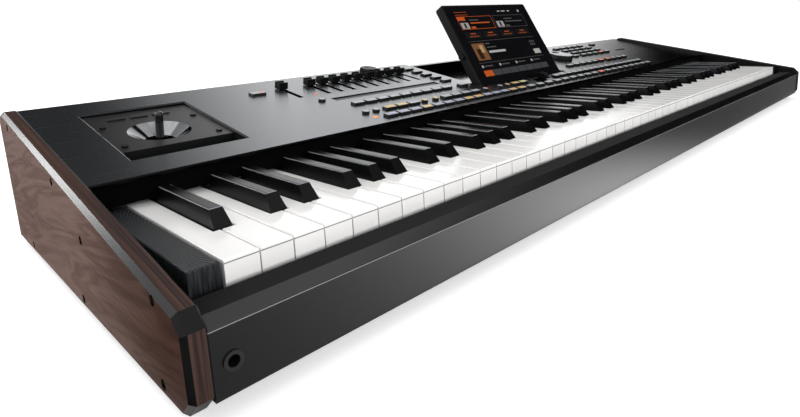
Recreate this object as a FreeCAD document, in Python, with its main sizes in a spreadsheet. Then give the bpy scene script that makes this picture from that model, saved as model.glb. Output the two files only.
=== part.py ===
import FreeCAD, Part
import math
import os
import Sketcher

# Driving dimensions of the arranger keyboard, in millimetres and degrees
SIZES = {
    # Case
    "overall_width": 1305, "overall_depth": 401, "ground_gap": 5, "rear_inset": 1.5,
    "foot_height": 11, "foot_diameter": 24, "foot_inset_x": 130, "foot_inset_y": 85,
    "floor_thickness": 2, "rear_panel_thickness": 2, "cut_margin": 1,
    # Wooden ends and their screws
    "wood_thickness": 13, "wood_bevel": 3, "wood_inner_bevel": 1.2, "wood_rise": 5,
    "wood_facet": 9, "wood_toe": 11, "wood_heel_radius": 16, "screw_hole_radius": 3.3, "screw_hole_depth": 4,
    "screw_radius": 3, "screw_length": 3, "screw_low_height": 8, "screw_low_front": 35,
    "screw_low_middle": 180, "screw_low_rear": 64, "screw_mid_drop": 6, "screw_mid_front": 34,
    "screw_mid_rear": 162, "screw_top_drop": 9, "screw_top_front": 220, "screw_top_rear": 38,
    # Front rail
    "rail_setback": 1, "rail_wall": 3, "rail_flange": 26, "rail_gap": 6.5, "rail_top_drop": 13.2,
    "rail_edge_radius": 0.9, "rail_chamfer_depth": 11.8, "rail_chamfer_drop": 4.1,
    # Keys
    "key_top_height": 67.5, "key_front_setback": 39, "key_end_gap": 28.5, "white_count": 52,
    "key_gap": 1, "key_thickness": 12, "key_lip_height": 18.5, "key_lip_wall": 5,
    "key_tail": 10, "key_edge_radius": 1.2, "sharp_edge_radius": 1.4, "pivot_behind": 57, "pivot_radius": 3,
    "pivot_clearance": 0.3, "key_dip": 10, "sharp_front_setback": 51, "sharp_rear_gap": 5,
    "sharp_width": 13.2, "sharp_top_width": 9.6, "sharp_height": 12, "sharp_front_slope": 9,
    "sharp_clearance": 1.5, "shift_c_sharp": 2.3, "shift_d_sharp": 2.3, "shift_f_sharp": 3,
    "shift_a_sharp": 2.3, "block_gap": 1.5, "block_width": 19, "block_edge_radius": 1.2, "block_setback": 1,
    # Key bed
    "frame_wall": 3, "frame_front_setback": 14, "frame_stop_clearance": 3,
    "contact_before": 43, "contact_depth": 32, "contact_thickness": 1.6, "contact_drop": 18.5,
    # Top panel and fallboard
    "panel_slope": 10.3, "panel_depth": 212.5, "panel_front_height": 90.5,
    "panel_thickness": 3, "panel_edge_bevel": 1.2, "fallboard_setback": 5, "fallboard_thickness": 3,
    "fallboard_key_gap": 2.5, "fallboard_panel_gap": 0.5,
    # Button rows, measured from the middle of the panel and up from its front edge
    "cap_rise": 3, "cap_depth_below": 6.3, "cap_clearance": 0.4,
    "cap_deep": 8.5, "cap_wide": 16.5, "cap_edge_radius": 0.6, "cap_pitch": 19.6,
    "front_left_first": -326, "front_row_line": 16.5, "front_left_count": 13,
    "front_right_first": -69, "front_right_count": 19, "front_right_pitch": 24.4,
    "middle_row_line": 38.5, "middle_left_first": -308, "middle_left_count": 3,
    "middle_next_first": -208, "middle_next_count": 4, "middle_centre_first": -54,
    "middle_centre_count": 2, "middle_right_first": 62, "middle_right_count": 17,
    "strip_row_first": -328, "strip_row_line": 72, "strip_row_count": 9, "strip_side_place": -136,
    "column_place": -138, "column_first": 103, "column_count": 5,
    "menu_left_first": 170, "menu_row_line": 75, "menu_left_count": 6, "menu_pitch": 23.5,
    "menu_right_first": 318, "menu_right_count": 4, "dial_side_place": 277, "block_side_place": 466,
    "block_first": 310, "block_line": 124, "block_pitch": 25, "block_rows": 4, "block_columns": 5,
    "block_row_pitch": 21.3, "port_place": 478, "port_line": 125, "port_wide": 46, "port_deep": 7,
    "port_sink": 2,
    "round_radius": 4.2, "round_1": -358, "round_1_line": 103, "round_2": -345, "round_3": -329.5,
    "round_4": -249, "round_5": -229, "round_6": -126, "round_7": -92, "round_8": -74,
    "power_place": -409, "power_line": 162, "power_wide": 18, "power_deep": 10,
    # Sliders
    "slider_first": -328, "slider_pitch": 20.1, "slider_count": 9, "slider_line": 172,
    "slider_travel": 41, "slider_slot": 6.5, "slider_stem_wide": 2, "slider_stem_deep": 5,
    "slider_stem_below": 5.5, "slider_end_gap": 1.5, "slider_cap_wide": 12, "slider_cap_deep": 11,
    "slider_cap_high": 8.5, "slider_cap_lift": 0.8, "slider_groove_radius": 6,
    "slider_groove_drop": 2.5, "master_place": -370, "balance_place": 24, "balance_line": 41.5,
    "balance_travel": 20,
    # Dial and knob
    "dial_place": 228, "dial_line": 129, "dial_radius": 23, "dial_high": 7.5, "turn_bevel": 1.2,
    "dial_dimple_radius": 8, "dial_dimple_offset": 13, "dial_dimple_depth": 2, "knob_place": -203,
    "knob_line": 200, "knob_radius": 13, "knob_high": 5.5, "turn_lift": 0.6,
    "shaft_radius": 3, "shaft_clearance": 0.5,
    # Strip display
    "strip_left": -342, "strip_wide": 184, "strip_line": 101.5, "strip_deep": 12.5, "strip_sink": 1.2,
    # Joystick
    "joystick_margin": 44.5, "joystick_wide": 102.5, "joystick_front": 35, "joystick_deep": 139,
    "joystick_lap": 6, "joystick_bevel": 1.5, "plate_thickness": 2, "trough_deep": 27,
    "trough_drop": 12, "trough_wall": 2,
    "stick_across": 49, "stick_line": 104, "bowl_radius": 28, "bowl_hole_radius": 14,
    "bowl_drop": 10, "bowl_wall": 2, "bowl_flange": 2.5, "bowl_clearance": 0.2,
    "pivot_drop": 24, "dome_radius": 10, "stick_radius": 3.8, "stick_rise": 16, "stick_tip_radius": 3.9,
    "gimbal_half": 15, "gimbal_bar": 3, "gimbal_high": 4, "gimbal_pin_radius": 2,
    "gimbal_pin_length": 4.5, "stick_pin_radius": 1.5, "stick_pin_end_gap": 0.5,
    "pin_clearance": 0.1, "ear_gap": 2, "ear_thickness": 3, "ear_half": 5, "ear_high": 4.5,
    "bracket_drop": 14, "bracket_thickness": 2, "bracket_half": 31, "post_radius": 3,
    "post_offset": 27, "plate_screw_in_x": 8, "plate_screw_front": 40.5, "plate_screw_rear": 41,
    "switch_wide": 17, "switch_deep": 4, "switch_pitch": 21.5, "switch_line": 153,
    "switch_across": 26, "switch_rise": 1.2, "switch_below": 4,
    # Display
    "display_centre": 3, "display_wide": 220, "display_high": 149, "display_thick": 14,
    "display_corner": 5, "display_edge_radius": 1.5, "display_tilt": 58,
    "hinge_line": 65, "hinge_sink": 7, "hinge_edge": 8,
    "glass_inset": 4, "glass_thick": 1.2, "glass_clearance": 0.15, "hinge_pin_radius": 3,
    "hinge_pin_length": 6, "hinge_side_gap": 5, "hinge_running_gap": 0.6, "hinge_half": 6,
    "tray_front": 53, "tray_rear_gap": 8, "tray_depth": 21, "tray_wall": 1.5, "tray_lip": 2,
    "lug_radius": 5, "lug_length": 3, "lug_line": 55,
    # Circuit boards and power supply
    "board_drop": 7.5, "board_thickness": 1.6, "board_left": -425, "board_right": 482,
    "board_front": 9, "board_split": 49, "board_back": 195, "board_gap": 4, "board_post_radius": 3,
    "main_board_left": 180, "main_board_wide": 280, "main_board_rear_gap": 17, "main_board_deep": 95,
    "main_board_lift": 8, "main_board_post_radius": 3, "main_board_post_inset": 8,
    "supply_left": -470, "supply_wide": 150, "supply_rear_gap": 22, "supply_deep": 85,
    "supply_high": 38,
    # Sockets
    "jack_radius": 4.9, "jack_bore_radius": 3.4, "jack_length": 26, "jack_bore_length": 22,
    "jack_ring_radius": 5.6, "jack_ring_length": 1, "jack_hole_gap": 0.2, "jack_height": 34,
    "headphone_margin": 11.2, "headphone_height": 30.2, "jack_first": 120, "jack_pitch": 34,
    "jack_count": 6, "din_radius": 8.5, "din_recess_radius": 6.6, "din_recess": 8,
    "din_length": 14, "din_first": -20, "din_pitch": 40, "din_count": 2, "usb_wide": 15,
    "usb_high": 8, "usb_slot_wide": 12.4, "usb_slot_high": 5, "usb_slot_deep": 10,
    "usb_length": 14, "usb_first": -120, "usb_pitch": 32, "usb_count": 2, "inlet_wide": 28,
    "inlet_high": 20, "inlet_length": 24, "inlet_hole_wide": 24.5, "inlet_hole_high": 16.5,
    "inlet_hole_deep": 15, "inlet_place": -520,
}

doc = FreeCAD.newDocument("arranger_keyboard")
sheet = doc.addObject("Spreadsheet::Sheet", "dims")
for row_number, (alias, value) in enumerate(SIZES.items(), start=1):
    sheet.set(f"A{row_number}", alias)
    sheet.set(f"B{row_number}", str(value))
    sheet.setAlias(f"B{row_number}", alias)
doc.recompute()

# Places that follow from the driving dimensions
FRONT = "(-dims.overall_depth / 2)"
REAR = "(dims.overall_depth / 2)"
OUTER = "(dims.overall_width / 2)"
INNER = "(dims.overall_width / 2 - dims.wood_thickness)"
FLOOR_TOP = "(dims.foot_height + dims.floor_thickness)"
RAIL_FRONT = f"({FRONT} + dims.rail_setback)"
RAIL_BACK = f"({RAIL_FRONT} + dims.rail_wall)"
RAIL_TOP = "(dims.key_top_height - dims.rail_top_drop)"
KEY_TOP = "dims.key_top_height"
KEY_FRONT = f"({FRONT} + dims.key_front_setback)"
KEY_SPAN = f"(2 * {INNER} - 2 * dims.key_end_gap)"
WHITE_PITCH = f"({KEY_SPAN} / dims.white_count)"
KEY_UNDER = "(dims.key_top_height - dims.key_thickness)"
PIVOT_Z = f"({KEY_UNDER} - dims.pivot_clearance - dims.pivot_radius)"
SHARP_FRONT = f"({KEY_FRONT} + dims.sharp_front_setback)"
PANEL_REAR = f"({REAR} - dims.rear_inset)"
PANEL_FRONT = f"({PANEL_REAR} - dims.panel_depth)"
PIVOT_Y = f"({PANEL_FRONT} + dims.pivot_behind)"
PANEL_LENGTH = f"(({PANEL_REAR} - {PANEL_FRONT}) / cos(dims.panel_slope))"
BACK_INSIDE = f"({PANEL_REAR} - dims.rear_panel_thickness)"
FALLBOARD_Y = f"({PANEL_FRONT} + dims.fallboard_setback)"
SHARP_LENGTH = f"({FALLBOARD_Y} - {SHARP_FRONT} - dims.sharp_rear_gap)"
PLATE_TOP = "(-dims.panel_thickness)"
JOYSTICK_LEFT = f"(-{INNER} + dims.joystick_margin)"
STICK_PLACE = f"({JOYSTICK_LEFT} + dims.stick_across)"
SWITCH_FIRST = f"({JOYSTICK_LEFT} + dims.switch_across)"
HEADPHONE_PLACE = f"(-{INNER} + dims.headphone_margin)"
TRAY_HALF = "(dims.display_wide / 2 + dims.hinge_side_gap)"
JACK_SIDE = {"front": -1, "rear": 1}

NODES = []


def node(item):
    """Marks a finished piece, which is written to a file under its label."""
    NODES.append(item)
    return item


def bind(item, **sizes):
    """Ties an object's sizes to expressions on the sheet."""
    for name, expression in sizes.items():
        item.setExpression(name, expression)
    return item


def set_place(item, corner):
    """Ties the three coordinates of an object's placement to expressions."""
    for letter, expression in zip("xyz", corner):
        item.setExpression(f"Placement.Base.{letter}", expression)
    return item


def panel_spot(across="0", along="0", above="0"):
    """Placement at a spot of the top panel: across it, up its slope and out of its face."""
    y = f"{PANEL_FRONT} + ({along}) * cos(dims.panel_slope) - ({above}) * sin(dims.panel_slope)"
    z = f"dims.panel_front_height + ({along}) * sin(dims.panel_slope) + ({above}) * cos(dims.panel_slope)"
    return f"placement(vector({across}; {y}; {z}); rotation(vector(1; 0; 0); dims.panel_slope))"


def display_spot():
    """Placement at the display's hinge line, turned to its raised tilt."""
    flat = panel_spot("dims.display_centre", "dims.hinge_line", "-dims.hinge_sink")
    return flat.rsplit("rotation", 1)[0] + "rotation(vector(1; 0; 0); dims.display_tilt))"


def box(name, corner, size):
    """Block with its lowest corner and its three lengths given as expressions."""
    block = doc.addObject("Part::Box", name)
    bind(block, Length=size[0], Width=size[1], Height=size[2])
    return set_place(block, corner)


TURNS = {
    "x": FreeCAD.Rotation(FreeCAD.Vector(0, 1, 0), 90),
    "y": FreeCAD.Rotation(FreeCAD.Vector(1, 0, 0), -90),
    "z": FreeCAD.Rotation(),
}


def cylinder(name, base, radius, length, axis="z"):
    """Round bar from its base point along an axis."""
    bar = doc.addObject("Part::Cylinder", name)
    bar.Placement = FreeCAD.Placement(FreeCAD.Vector(), TURNS[axis])
    bind(bar, Radius=radius, Height=length)
    return set_place(bar, base)


def fuse(name, shapes):
    """One solid joined from several."""
    joined = doc.addObject("Part::MultiFuse", name)
    joined.Shapes = shapes
    return joined


def cut(name, base, tools):
    """A solid with one or more tools taken out of it."""
    tool = tools[0] if len(tools) == 1 else group(f"{name}_tools", tools)
    result = doc.addObject("Part::Cut", name)
    result.Base = base
    result.Tool = tool
    return result


def group(name, members):
    """Several separate solids kept as one piece."""
    together = doc.addObject("Part::Compound", name)
    together.Links = members
    return together


def origin_part(body, role):
    """An origin plane or axis of a body."""
    return [item for item in body.Origin.OriginFeatures if item.Role == role][0]


def new_sketch(body, name, role, lift):
    """Empty sketch on an origin plane of its body, lifted off it by an expression."""
    sketch = body.newObject("Sketcher::SketchObject", name)
    sketch.AttachmentSupport = [(origin_part(body, role), "")]
    sketch.MapMode = "FlatFace"
    sketch.setExpression("AttachmentOffset.Base.z", lift)
    return sketch


def pin_point(sketch, geometry, position, point):
    """Ties one point of a sketch to a pair of expressions."""
    for kind, expression in zip(("DistanceX", "DistanceY"), point):
        index = sketch.addConstraint(Sketcher.Constraint(kind, geometry, position, 1.0))
        sketch.setExpression(f"Constraints[{index}]", expression)


def polygon(body, name, points, role="XY_Plane", lift="0"):
    """Closed outline through points given as pairs of expressions."""
    sketch = new_sketch(body, name, role, lift)
    count = len(points)
    turn = 2 * math.pi / count
    start = [FreeCAD.Vector(math.cos(turn * i), math.sin(turn * i), 0) for i in range(count)]
    for i in range(count):
        sketch.addGeometry(Part.LineSegment(start[i], start[(i + 1) % count]))
    for i in range(count):
        sketch.addConstraint(Sketcher.Constraint("Coincident", i, 2, (i + 1) % count, 1))
    for i, point in enumerate(points):
        pin_point(sketch, i, 1, point)
    return sketch


def rectangle(body, name, left, low, wide, deep, lift="0"):
    """Rectangle from its lower left corner and its two lengths."""
    right = f"{left} + {wide}"
    high = f"{low} + {deep}"
    corners = [(left, low), (right, low), (right, high), (left, high)]
    return polygon(body, name, corners, lift=lift)


def circle_outline(body, name, centres, radius, role="XY_Plane", lift="0"):
    """Circles of one radius around centres given as pairs of expressions."""
    sketch = new_sketch(body, name, role, lift)
    upward = FreeCAD.Vector(0, 0, 1)
    for i, centre in enumerate(centres):
        sketch.addGeometry(Part.Circle(FreeCAD.Vector(10.0 * i, 0, 0), upward, 1.0))
        pin_point(sketch, i, 3, centre)
        index = sketch.addConstraint(Sketcher.Constraint("Radius", i, 1.0))
        sketch.setExpression(f"Constraints[{index}]", radius)
    return sketch


def pad(body, sketch, length):
    """Solid raised from a sketch."""
    feature = body.newObject("PartDesign::Pad", f"{sketch.Label}_pad")
    feature.Profile = sketch
    return bind(feature, Length=length)


def pocket(body, sketch, depth, inward=False):
    """Recess cut from a sketch against its normal, or along it when inward is set."""
    feature = body.newObject("PartDesign::Pocket", f"{sketch.Label}_pocket")
    feature.Profile = sketch
    feature.Reversed = inward
    return bind(feature, Length=depth)


def repeat(body, pitch, count, axis="X_Axis"):
    """Copies of a whole body at an even pitch along one of its axes."""
    copies = body.newObject("PartDesign::LinearPattern", f"{body.Label}_copies")
    copies.TransformMode = "Whole shape"
    copies.Direction = (origin_part(body, axis), [""])
    copies.Mode = "Spacing"
    bind(copies, Offset=pitch, Occurrences=count)
    body.Tip = copies
    return copies


def round_edges(body, name, radius, test):
    """Rounds the edges of a body's last feature that pass a test on their bounding box."""
    doc.recompute()
    last = body.Tip
    limits = last.Shape.BoundBox
    rounding = body.newObject("PartDesign::Fillet", name)
    rounding.Base = (last, edges_where(last, lambda edge: test(edge, limits)))
    return bind(rounding, Radius=radius)


TOUCH = 0.01


def on_top(edge, limits):
    """True for an edge that lies in the highest plane of a shape."""
    return edge.ZMin > limits.ZMax - TOUCH


def edges_where(feature, test):
    """Names of a feature's edges that pass a test on their bounding box."""
    edges = feature.Shape.Edges
    return [f"Edge{i}" for i, edge in enumerate(edges, start=1) if test(edge.BoundBox)]


def new_body(name):
    return doc.addObject("PartDesign::Body", name)


def profile_body(name, points, start, length):
    """Bar of a constant side profile that runs across the instrument."""
    body = new_body(name)
    pad(body, polygon(body, f"{name}_profile", points, role="YZ_Plane"), length)
    body.setExpression("Placement.Base.x", start)
    return body


# Floor plate and rubber feet
node(box("bottom_plate", (f"-{INNER}", RAIL_BACK, "dims.foot_height"),
         (f"2 * {INNER}", f"{PANEL_REAR} - {RAIL_BACK}", "dims.floor_thickness")))

feet = []
for column, across in enumerate((f"-({OUTER} - dims.foot_inset_x)", "0", f"{OUTER} - dims.foot_inset_x")):
    for line, along in enumerate((f"{FRONT} + dims.foot_inset_y", f"{REAR} - dims.foot_inset_y")):
        feet.append(cylinder(f"foot_{column}_{line}", (across, along, "0"),
                             "dims.foot_diameter / 2", "dims.foot_height"))
node(group("rubber_feet", feet))


# Wooden ends: a walnut slab each, bevelled all round, with recessed screws
def wood_top(along):
    """Height of a wooden end's top line, which runs parallel to the panel."""
    return f"(dims.panel_front_height + dims.wood_rise + (({along}) - {PANEL_FRONT}) * tan(dims.panel_slope))"


FACET_Y = f"({FRONT} + dims.wood_facet)"
WOOD_PROFILE = [
    (f"{FRONT} + dims.wood_toe", "dims.ground_gap"),
    (REAR, "dims.ground_gap"),
    (REAR, wood_top(REAR)),
    (FACET_Y, wood_top(FACET_Y)),
    (FRONT, f"{wood_top(FACET_Y)} - dims.wood_facet"),
    (FRONT, "dims.ground_gap + dims.wood_toe"),
]
LOW_SCREW = "dims.ground_gap + dims.screw_low_height"
MID_SCREW = f"{KEY_TOP} - dims.screw_mid_drop"
TOP_SCREWS = [f"{FRONT} + dims.screw_top_front", f"{REAR} - dims.screw_top_rear"]
SCREW_SPOTS = [(f"{FRONT} + dims.screw_low_front", LOW_SCREW),
               (f"{FRONT} + dims.screw_low_middle", LOW_SCREW),
               (f"{REAR} - dims.screw_low_rear", LOW_SCREW),
               (f"{FRONT} + dims.screw_mid_front", MID_SCREW),
               (f"{FRONT} + dims.screw_mid_rear", MID_SCREW)]
SCREW_SPOTS += [(along, f"{wood_top(along)} - dims.screw_top_drop") for along in TOP_SCREWS]


def bevel_face(body, name, size, left):
    """Bevels all round the left or the right face of a body's last feature."""
    doc.recompute()
    last = body.Tip
    limits = last.Shape.BoundBox
    bevel = body.newObject("PartDesign::Chamfer", name)
    bevel.Base = (last, edges_where(last, lambda edge: edge.XMax < limits.XMin + TOUCH if left
                                    else edge.XMin > limits.XMax - TOUCH))
    bind(bevel, Size=size)
    doc.recompute()


def wood_end(name, start, outer_lift, inward):
    """One wooden end with its outer face at outer_lift from its start."""
    body = profile_body(name, WOOD_PROFILE, start, "dims.wood_thickness")
    round_edges(body, f"{name}_heel", "dims.wood_heel_radius",
                lambda edge, limits: edge.YMin > limits.YMax - TOUCH and on_top(edge, limits))
    bevel_face(body, f"{name}_outer_bevel", "dims.wood_bevel", inward)
    bevel_face(body, f"{name}_inner_bevel", "dims.wood_inner_bevel", not inward)
    spots = circle_outline(body, f"{name}_screw_holes", SCREW_SPOTS, "dims.screw_hole_radius",
                           role="YZ_Plane", lift=outer_lift)
    pocket(body, spots, "dims.screw_hole_depth", inward)
    return node(body)


wood_end("left_wood_end", f"-{OUTER}", "0", True)
wood_end("right_wood_end", INNER, "dims.wood_thickness", False)

# Front rail: folded metal with a flat top, a slanted band and a tall front face
RAIL_PROFILE = [
    (RAIL_FRONT, "dims.foot_height"),
    (RAIL_BACK, "dims.foot_height"),
    (RAIL_BACK, FLOOR_TOP),
    (f"{RAIL_FRONT} + dims.rail_flange", FLOOR_TOP),
    (f"{RAIL_FRONT} + dims.rail_flange", f"{FLOOR_TOP} + dims.rail_wall"),
    (RAIL_BACK, f"{FLOOR_TOP} + dims.rail_wall"),
    (RAIL_BACK, f"{RAIL_TOP} - dims.rail_chamfer_drop - dims.rail_wall"),
    (f"{RAIL_FRONT} + dims.rail_chamfer_depth", f"{RAIL_TOP} - dims.rail_wall"),
    (f"{KEY_FRONT} - dims.rail_gap", f"{RAIL_TOP} - dims.rail_wall"),
    (f"{KEY_FRONT} - dims.rail_gap", RAIL_TOP),
    (f"{RAIL_FRONT} + dims.rail_chamfer_depth", RAIL_TOP),
    (RAIL_FRONT, f"{RAIL_TOP} - dims.rail_chamfer_drop"),
]
rail_bar = profile_body("rail_bar", RAIL_PROFILE, f"-{INNER}", f"2 * {INNER}")
round_edges(rail_bar, "rail_front_edges", "dims.rail_edge_radius",
            lambda edge, limits: edge.XLength > edge.ZLength and edge.YMax < limits.YMin + TOUCH)
headphone_hole = cylinder("headphone_hole",
                          (HEADPHONE_PLACE, f"{RAIL_FRONT} - dims.cut_margin", "dims.headphone_height"),
                          "dims.jack_radius + dims.jack_hole_gap", "dims.rail_wall + 2 * dims.cut_margin",
                          axis="y")
node(cut("front_rail", rail_bar, [headphone_hole]))

# Blocks that close the key row at its two ends
BLOCK_Y = f"{KEY_FRONT} + dims.block_setback"


def key_block(name, left):
    """One block with its top edges rounded over."""
    body = new_body(name)
    outline = rectangle(body, f"{name}_outline", left, BLOCK_Y, "dims.block_width",
                        f"{FALLBOARD_Y} - {KEY_FRONT} - dims.block_setback", lift=FLOOR_TOP)
    pad(body, outline, f"{KEY_TOP} - {FLOOR_TOP}")
    round_edges(body, f"{name}_edges", "dims.block_edge_radius", on_top)
    return body


node(group("key_end_blocks", [
    key_block("left_key_block", f"-{KEY_SPAN} / 2 - dims.block_gap - dims.block_width"),
    key_block("right_key_block", f"{KEY_SPAN} / 2 + dims.block_gap")]))

# Fallboard: the upright strip between the keys and the panel's front edge
PANEL_UNDER = ("(dims.panel_front_height + dims.fallboard_setback * tan(dims.panel_slope)"
               " - dims.panel_thickness / cos(dims.panel_slope))")
node(box("fallboard", (f"-{INNER}", FALLBOARD_Y, f"{KEY_TOP} + dims.fallboard_key_gap"),
         (f"2 * {INNER}", "dims.fallboard_thickness",
          f"{PANEL_UNDER} - dims.fallboard_panel_gap - {KEY_TOP} - dims.fallboard_key_gap")))

# Key bed: floor, front wall, contact wall and the ridge that the keys tip on
BED_FRONT = f"({KEY_FRONT} + dims.frame_front_setback)"
BED_TOP = f"({KEY_UNDER} - dims.key_dip - dims.frame_stop_clearance)"
CONTACT_UNDER = f"({KEY_TOP} - dims.contact_drop - dims.contact_thickness)"
CONTACT_FRONT = f"({PANEL_FRONT} - dims.contact_before)"
bed = [
    box("bed_floor", (f"-{KEY_SPAN} / 2", BED_FRONT, FLOOR_TOP),
        (KEY_SPAN, f"{PIVOT_Y} + dims.pivot_radius - {BED_FRONT}", "dims.frame_wall")),
    box("bed_front_wall", (f"-{KEY_SPAN} / 2", BED_FRONT, FLOOR_TOP),
        (KEY_SPAN, "dims.frame_wall", f"{BED_TOP} - {FLOOR_TOP}")),
    box("bed_contact_wall", (f"-{KEY_SPAN} / 2", f"{CONTACT_FRONT} + dims.contact_depth / 2", FLOOR_TOP),
        (KEY_SPAN, "dims.frame_wall", f"{CONTACT_UNDER} - {FLOOR_TOP}")),
    box("bed_rear_wall", (f"-{KEY_SPAN} / 2", f"{PIVOT_Y} - dims.pivot_radius", FLOOR_TOP),
        (KEY_SPAN, "2 * dims.pivot_radius", f"{PIVOT_Z} - {FLOOR_TOP}")),
    cylinder("bed_ridge", (f"-{KEY_SPAN} / 2", PIVOT_Y, PIVOT_Z), "dims.pivot_radius", KEY_SPAN, axis="x"),
]
node(fuse("key_frame", bed))
node(box("contact_board", (f"-{KEY_SPAN} / 2", CONTACT_FRONT, CONTACT_UNDER),
         (KEY_SPAN, "dims.contact_depth", "dims.contact_thickness")))

# Keys, grouped by note name: white keys step round the sharps beside them
WHITE_ORDER = "abcdefg"
OCTAVE = f"({WHITE_PITCH} * {len(WHITE_ORDER)})"
FULL_OCTAVES = SIZES["white_count"] // len(WHITE_ORDER)
KEY_LENGTH = f"({PIVOT_Y} - {KEY_FRONT} + dims.key_tail)"
SHIFTS = {"c": "-dims.shift_c_sharp", "d": "dims.shift_d_sharp", "f": "-dims.shift_f_sharp",
          "g": "0", "a": "dims.shift_a_sharp"}


def white_key(name, place, left_sharp, right_sharp, count):
    """White key with a front lip, narrowed beside each neighbouring sharp, in every octave."""
    body = new_body(name)
    near = KEY_FRONT
    far = f"{KEY_FRONT} + {KEY_LENGTH}"
    step = f"{SHARP_FRONT} - dims.sharp_clearance"
    left = "dims.key_gap / 2"
    right = f"{WHITE_PITCH} - dims.key_gap / 2"
    points = [(left, near), (right, near)]
    if right_sharp:
        narrow = f"{WHITE_PITCH} + {SHIFTS[right_sharp]} - dims.sharp_width / 2 - dims.key_gap"
        points += [(right, step), (narrow, step), (narrow, far)]
    else:
        points += [(right, far)]
    if left_sharp:
        narrow = f"{SHIFTS[left_sharp]} + dims.sharp_width / 2 + dims.key_gap"
        points += [(narrow, far), (narrow, step), (left, step)]
    else:
        points += [(left, far)]
    pad(body, polygon(body, f"{name}_top", points, lift=KEY_UNDER), "dims.key_thickness")
    lip = rectangle(body, f"{name}_lip", left, near, f"{WHITE_PITCH} - dims.key_gap", "dims.key_lip_wall",
                    lift=f"{KEY_TOP} - dims.key_lip_height")
    pad(body, lip, "dims.key_lip_height - dims.key_thickness")
    round_edges(body, f"{name}_edges", "dims.key_edge_radius", on_top)
    if count > 1:
        repeat(body, OCTAVE, str(count))
    body.setExpression("Placement.Base.x", f"-{KEY_SPAN} / 2 + {place} * {WHITE_PITCH}")
    return body


def sharp_key(name, place, shift, count):
    """Sharp with a tapered cap and a sloping front, in every octave."""
    body = new_body(name)
    half = "dims.sharp_width / 2"
    top_half = "dims.sharp_top_width / 2"
    slope = "dims.sharp_front_slope"
    beam = rectangle(body, f"{name}_beam", f"-{half}", SHARP_FRONT, "dims.sharp_width",
                     f"{KEY_LENGTH} - dims.sharp_front_setback", lift=KEY_UNDER)
    pad(body, beam, "dims.key_thickness")
    foot = rectangle(body, f"{name}_foot", f"-{half}", SHARP_FRONT, "dims.sharp_width",
                     SHARP_LENGTH, lift=KEY_TOP)
    crown = rectangle(body, f"{name}_crown", f"-{top_half}", f"{SHARP_FRONT} + {slope}",
                      "dims.sharp_top_width", f"{SHARP_LENGTH} - {slope}",
                      lift=f"{KEY_TOP} + dims.sharp_height")
    cap = body.newObject("PartDesign::AdditiveLoft", f"{name}_cap")
    cap.Profile = foot
    cap.Sections = [crown]
    cap.Ruled = True
    round_edges(body, f"{name}_edges", "dims.sharp_edge_radius", on_top)
    repeat(body, OCTAVE, str(count))
    body.setExpression("Placement.Base.x", f"-{KEY_SPAN} / 2 + {place} * {WHITE_PITCH} + {shift}")
    return body


LEFT_SHARP = {"a": "g", "b": "a", "d": "c", "e": "d", "g": "f"}
RIGHT_SHARP = {letter: letter for letter in "acdfg"}
first_a = white_key("first_key_a", 0, None, "a", 1)
last_c = white_key("last_key_c", SIZES["white_count"] - 1, None, None, 1)
for place, letter in enumerate(WHITE_ORDER):
    sides = (LEFT_SHARP.get(letter), RIGHT_SHARP.get(letter))
    if letter == "a":
        node(group("keys_a", [first_a, white_key("other_keys_a", len(WHITE_ORDER), *sides, FULL_OCTAVES)]))
    elif letter == "c":
        node(group("keys_c", [white_key("other_keys_c", place, *sides, FULL_OCTAVES), last_c]))
    else:
        node(white_key(f"keys_{letter}", place, *sides, FULL_OCTAVES + (letter == "b")))
    if letter in SHIFTS:
        node(sharp_key(f"keys_{letter}_sharp", place + 1, SHIFTS[letter], FULL_OCTAVES + (letter == "a")))

# Top panel: brushed aluminium sheet in its own sloping frame, and the tools that pierce it
sheet_body = new_body("panel_sheet")
pad(sheet_body, rectangle(sheet_body, "panel_outline", f"-{INNER}", "0", f"2 * {INNER}", PANEL_LENGTH,
                          lift=PLATE_TOP), "dims.panel_thickness")
doc.recompute()
panel_pad = sheet_body.Tip
front_bevel = sheet_body.newObject("PartDesign::Chamfer", "panel_front_bevel")
front_bevel.Base = (panel_pad, edges_where(panel_pad, lambda edge: edge.YMax < TOUCH and edge.ZMin > -TOUCH))
bind(front_bevel, Size="dims.panel_edge_bevel")
panel_tools = []
TOOL_LIFT = f"{PLATE_TOP} - dims.cut_margin"
TOOL_LENGTH = "dims.panel_thickness + 2 * dims.cut_margin"


def panel_hole(name, left, low, wide, deep, pitch="0", count="1", axis="X_Axis"):
    """Rectangular hole right through the panel, or a row of them."""
    body = new_body(name)
    pad(body, rectangle(body, f"{name}_outline", left, low, wide, deep, lift=TOOL_LIFT), TOOL_LENGTH)
    if count != "1":
        repeat(body, pitch, count, axis)
    panel_tools.append(body)


def round_holes(name, centres, radius):
    """Round holes right through the panel."""
    body = new_body(name)
    pad(body, circle_outline(body, f"{name}_outline", centres, radius, lift=TOOL_LIFT), TOOL_LENGTH)
    panel_tools.append(body)


def cap_row(name, first, line, wide, deep, pitch="dims.cap_pitch", count="1", axis="X_Axis"):
    """Row of rectangular button caps with rounded tops, and the row of holes they stand in."""
    gap = "dims.cap_clearance"
    panel_hole(f"{name}_hole", f"{first} - {wide} / 2 - {gap}", f"{line} - {deep} / 2 - {gap}",
               f"{wide} + 2 * {gap}", f"{deep} + 2 * {gap}", pitch, count, axis)
    body = new_body(name)
    outline = rectangle(body, f"{name}_outline", f"{first} - {wide} / 2", f"{line} - {deep} / 2", wide, deep,
                        lift="-dims.cap_depth_below")
    pad(body, outline, "dims.cap_depth_below + dims.cap_rise")
    round_edges(body, f"{name}_edges", "dims.cap_edge_radius", on_top)
    if count != "1":
        repeat(body, pitch, count, axis)
    return body


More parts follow.
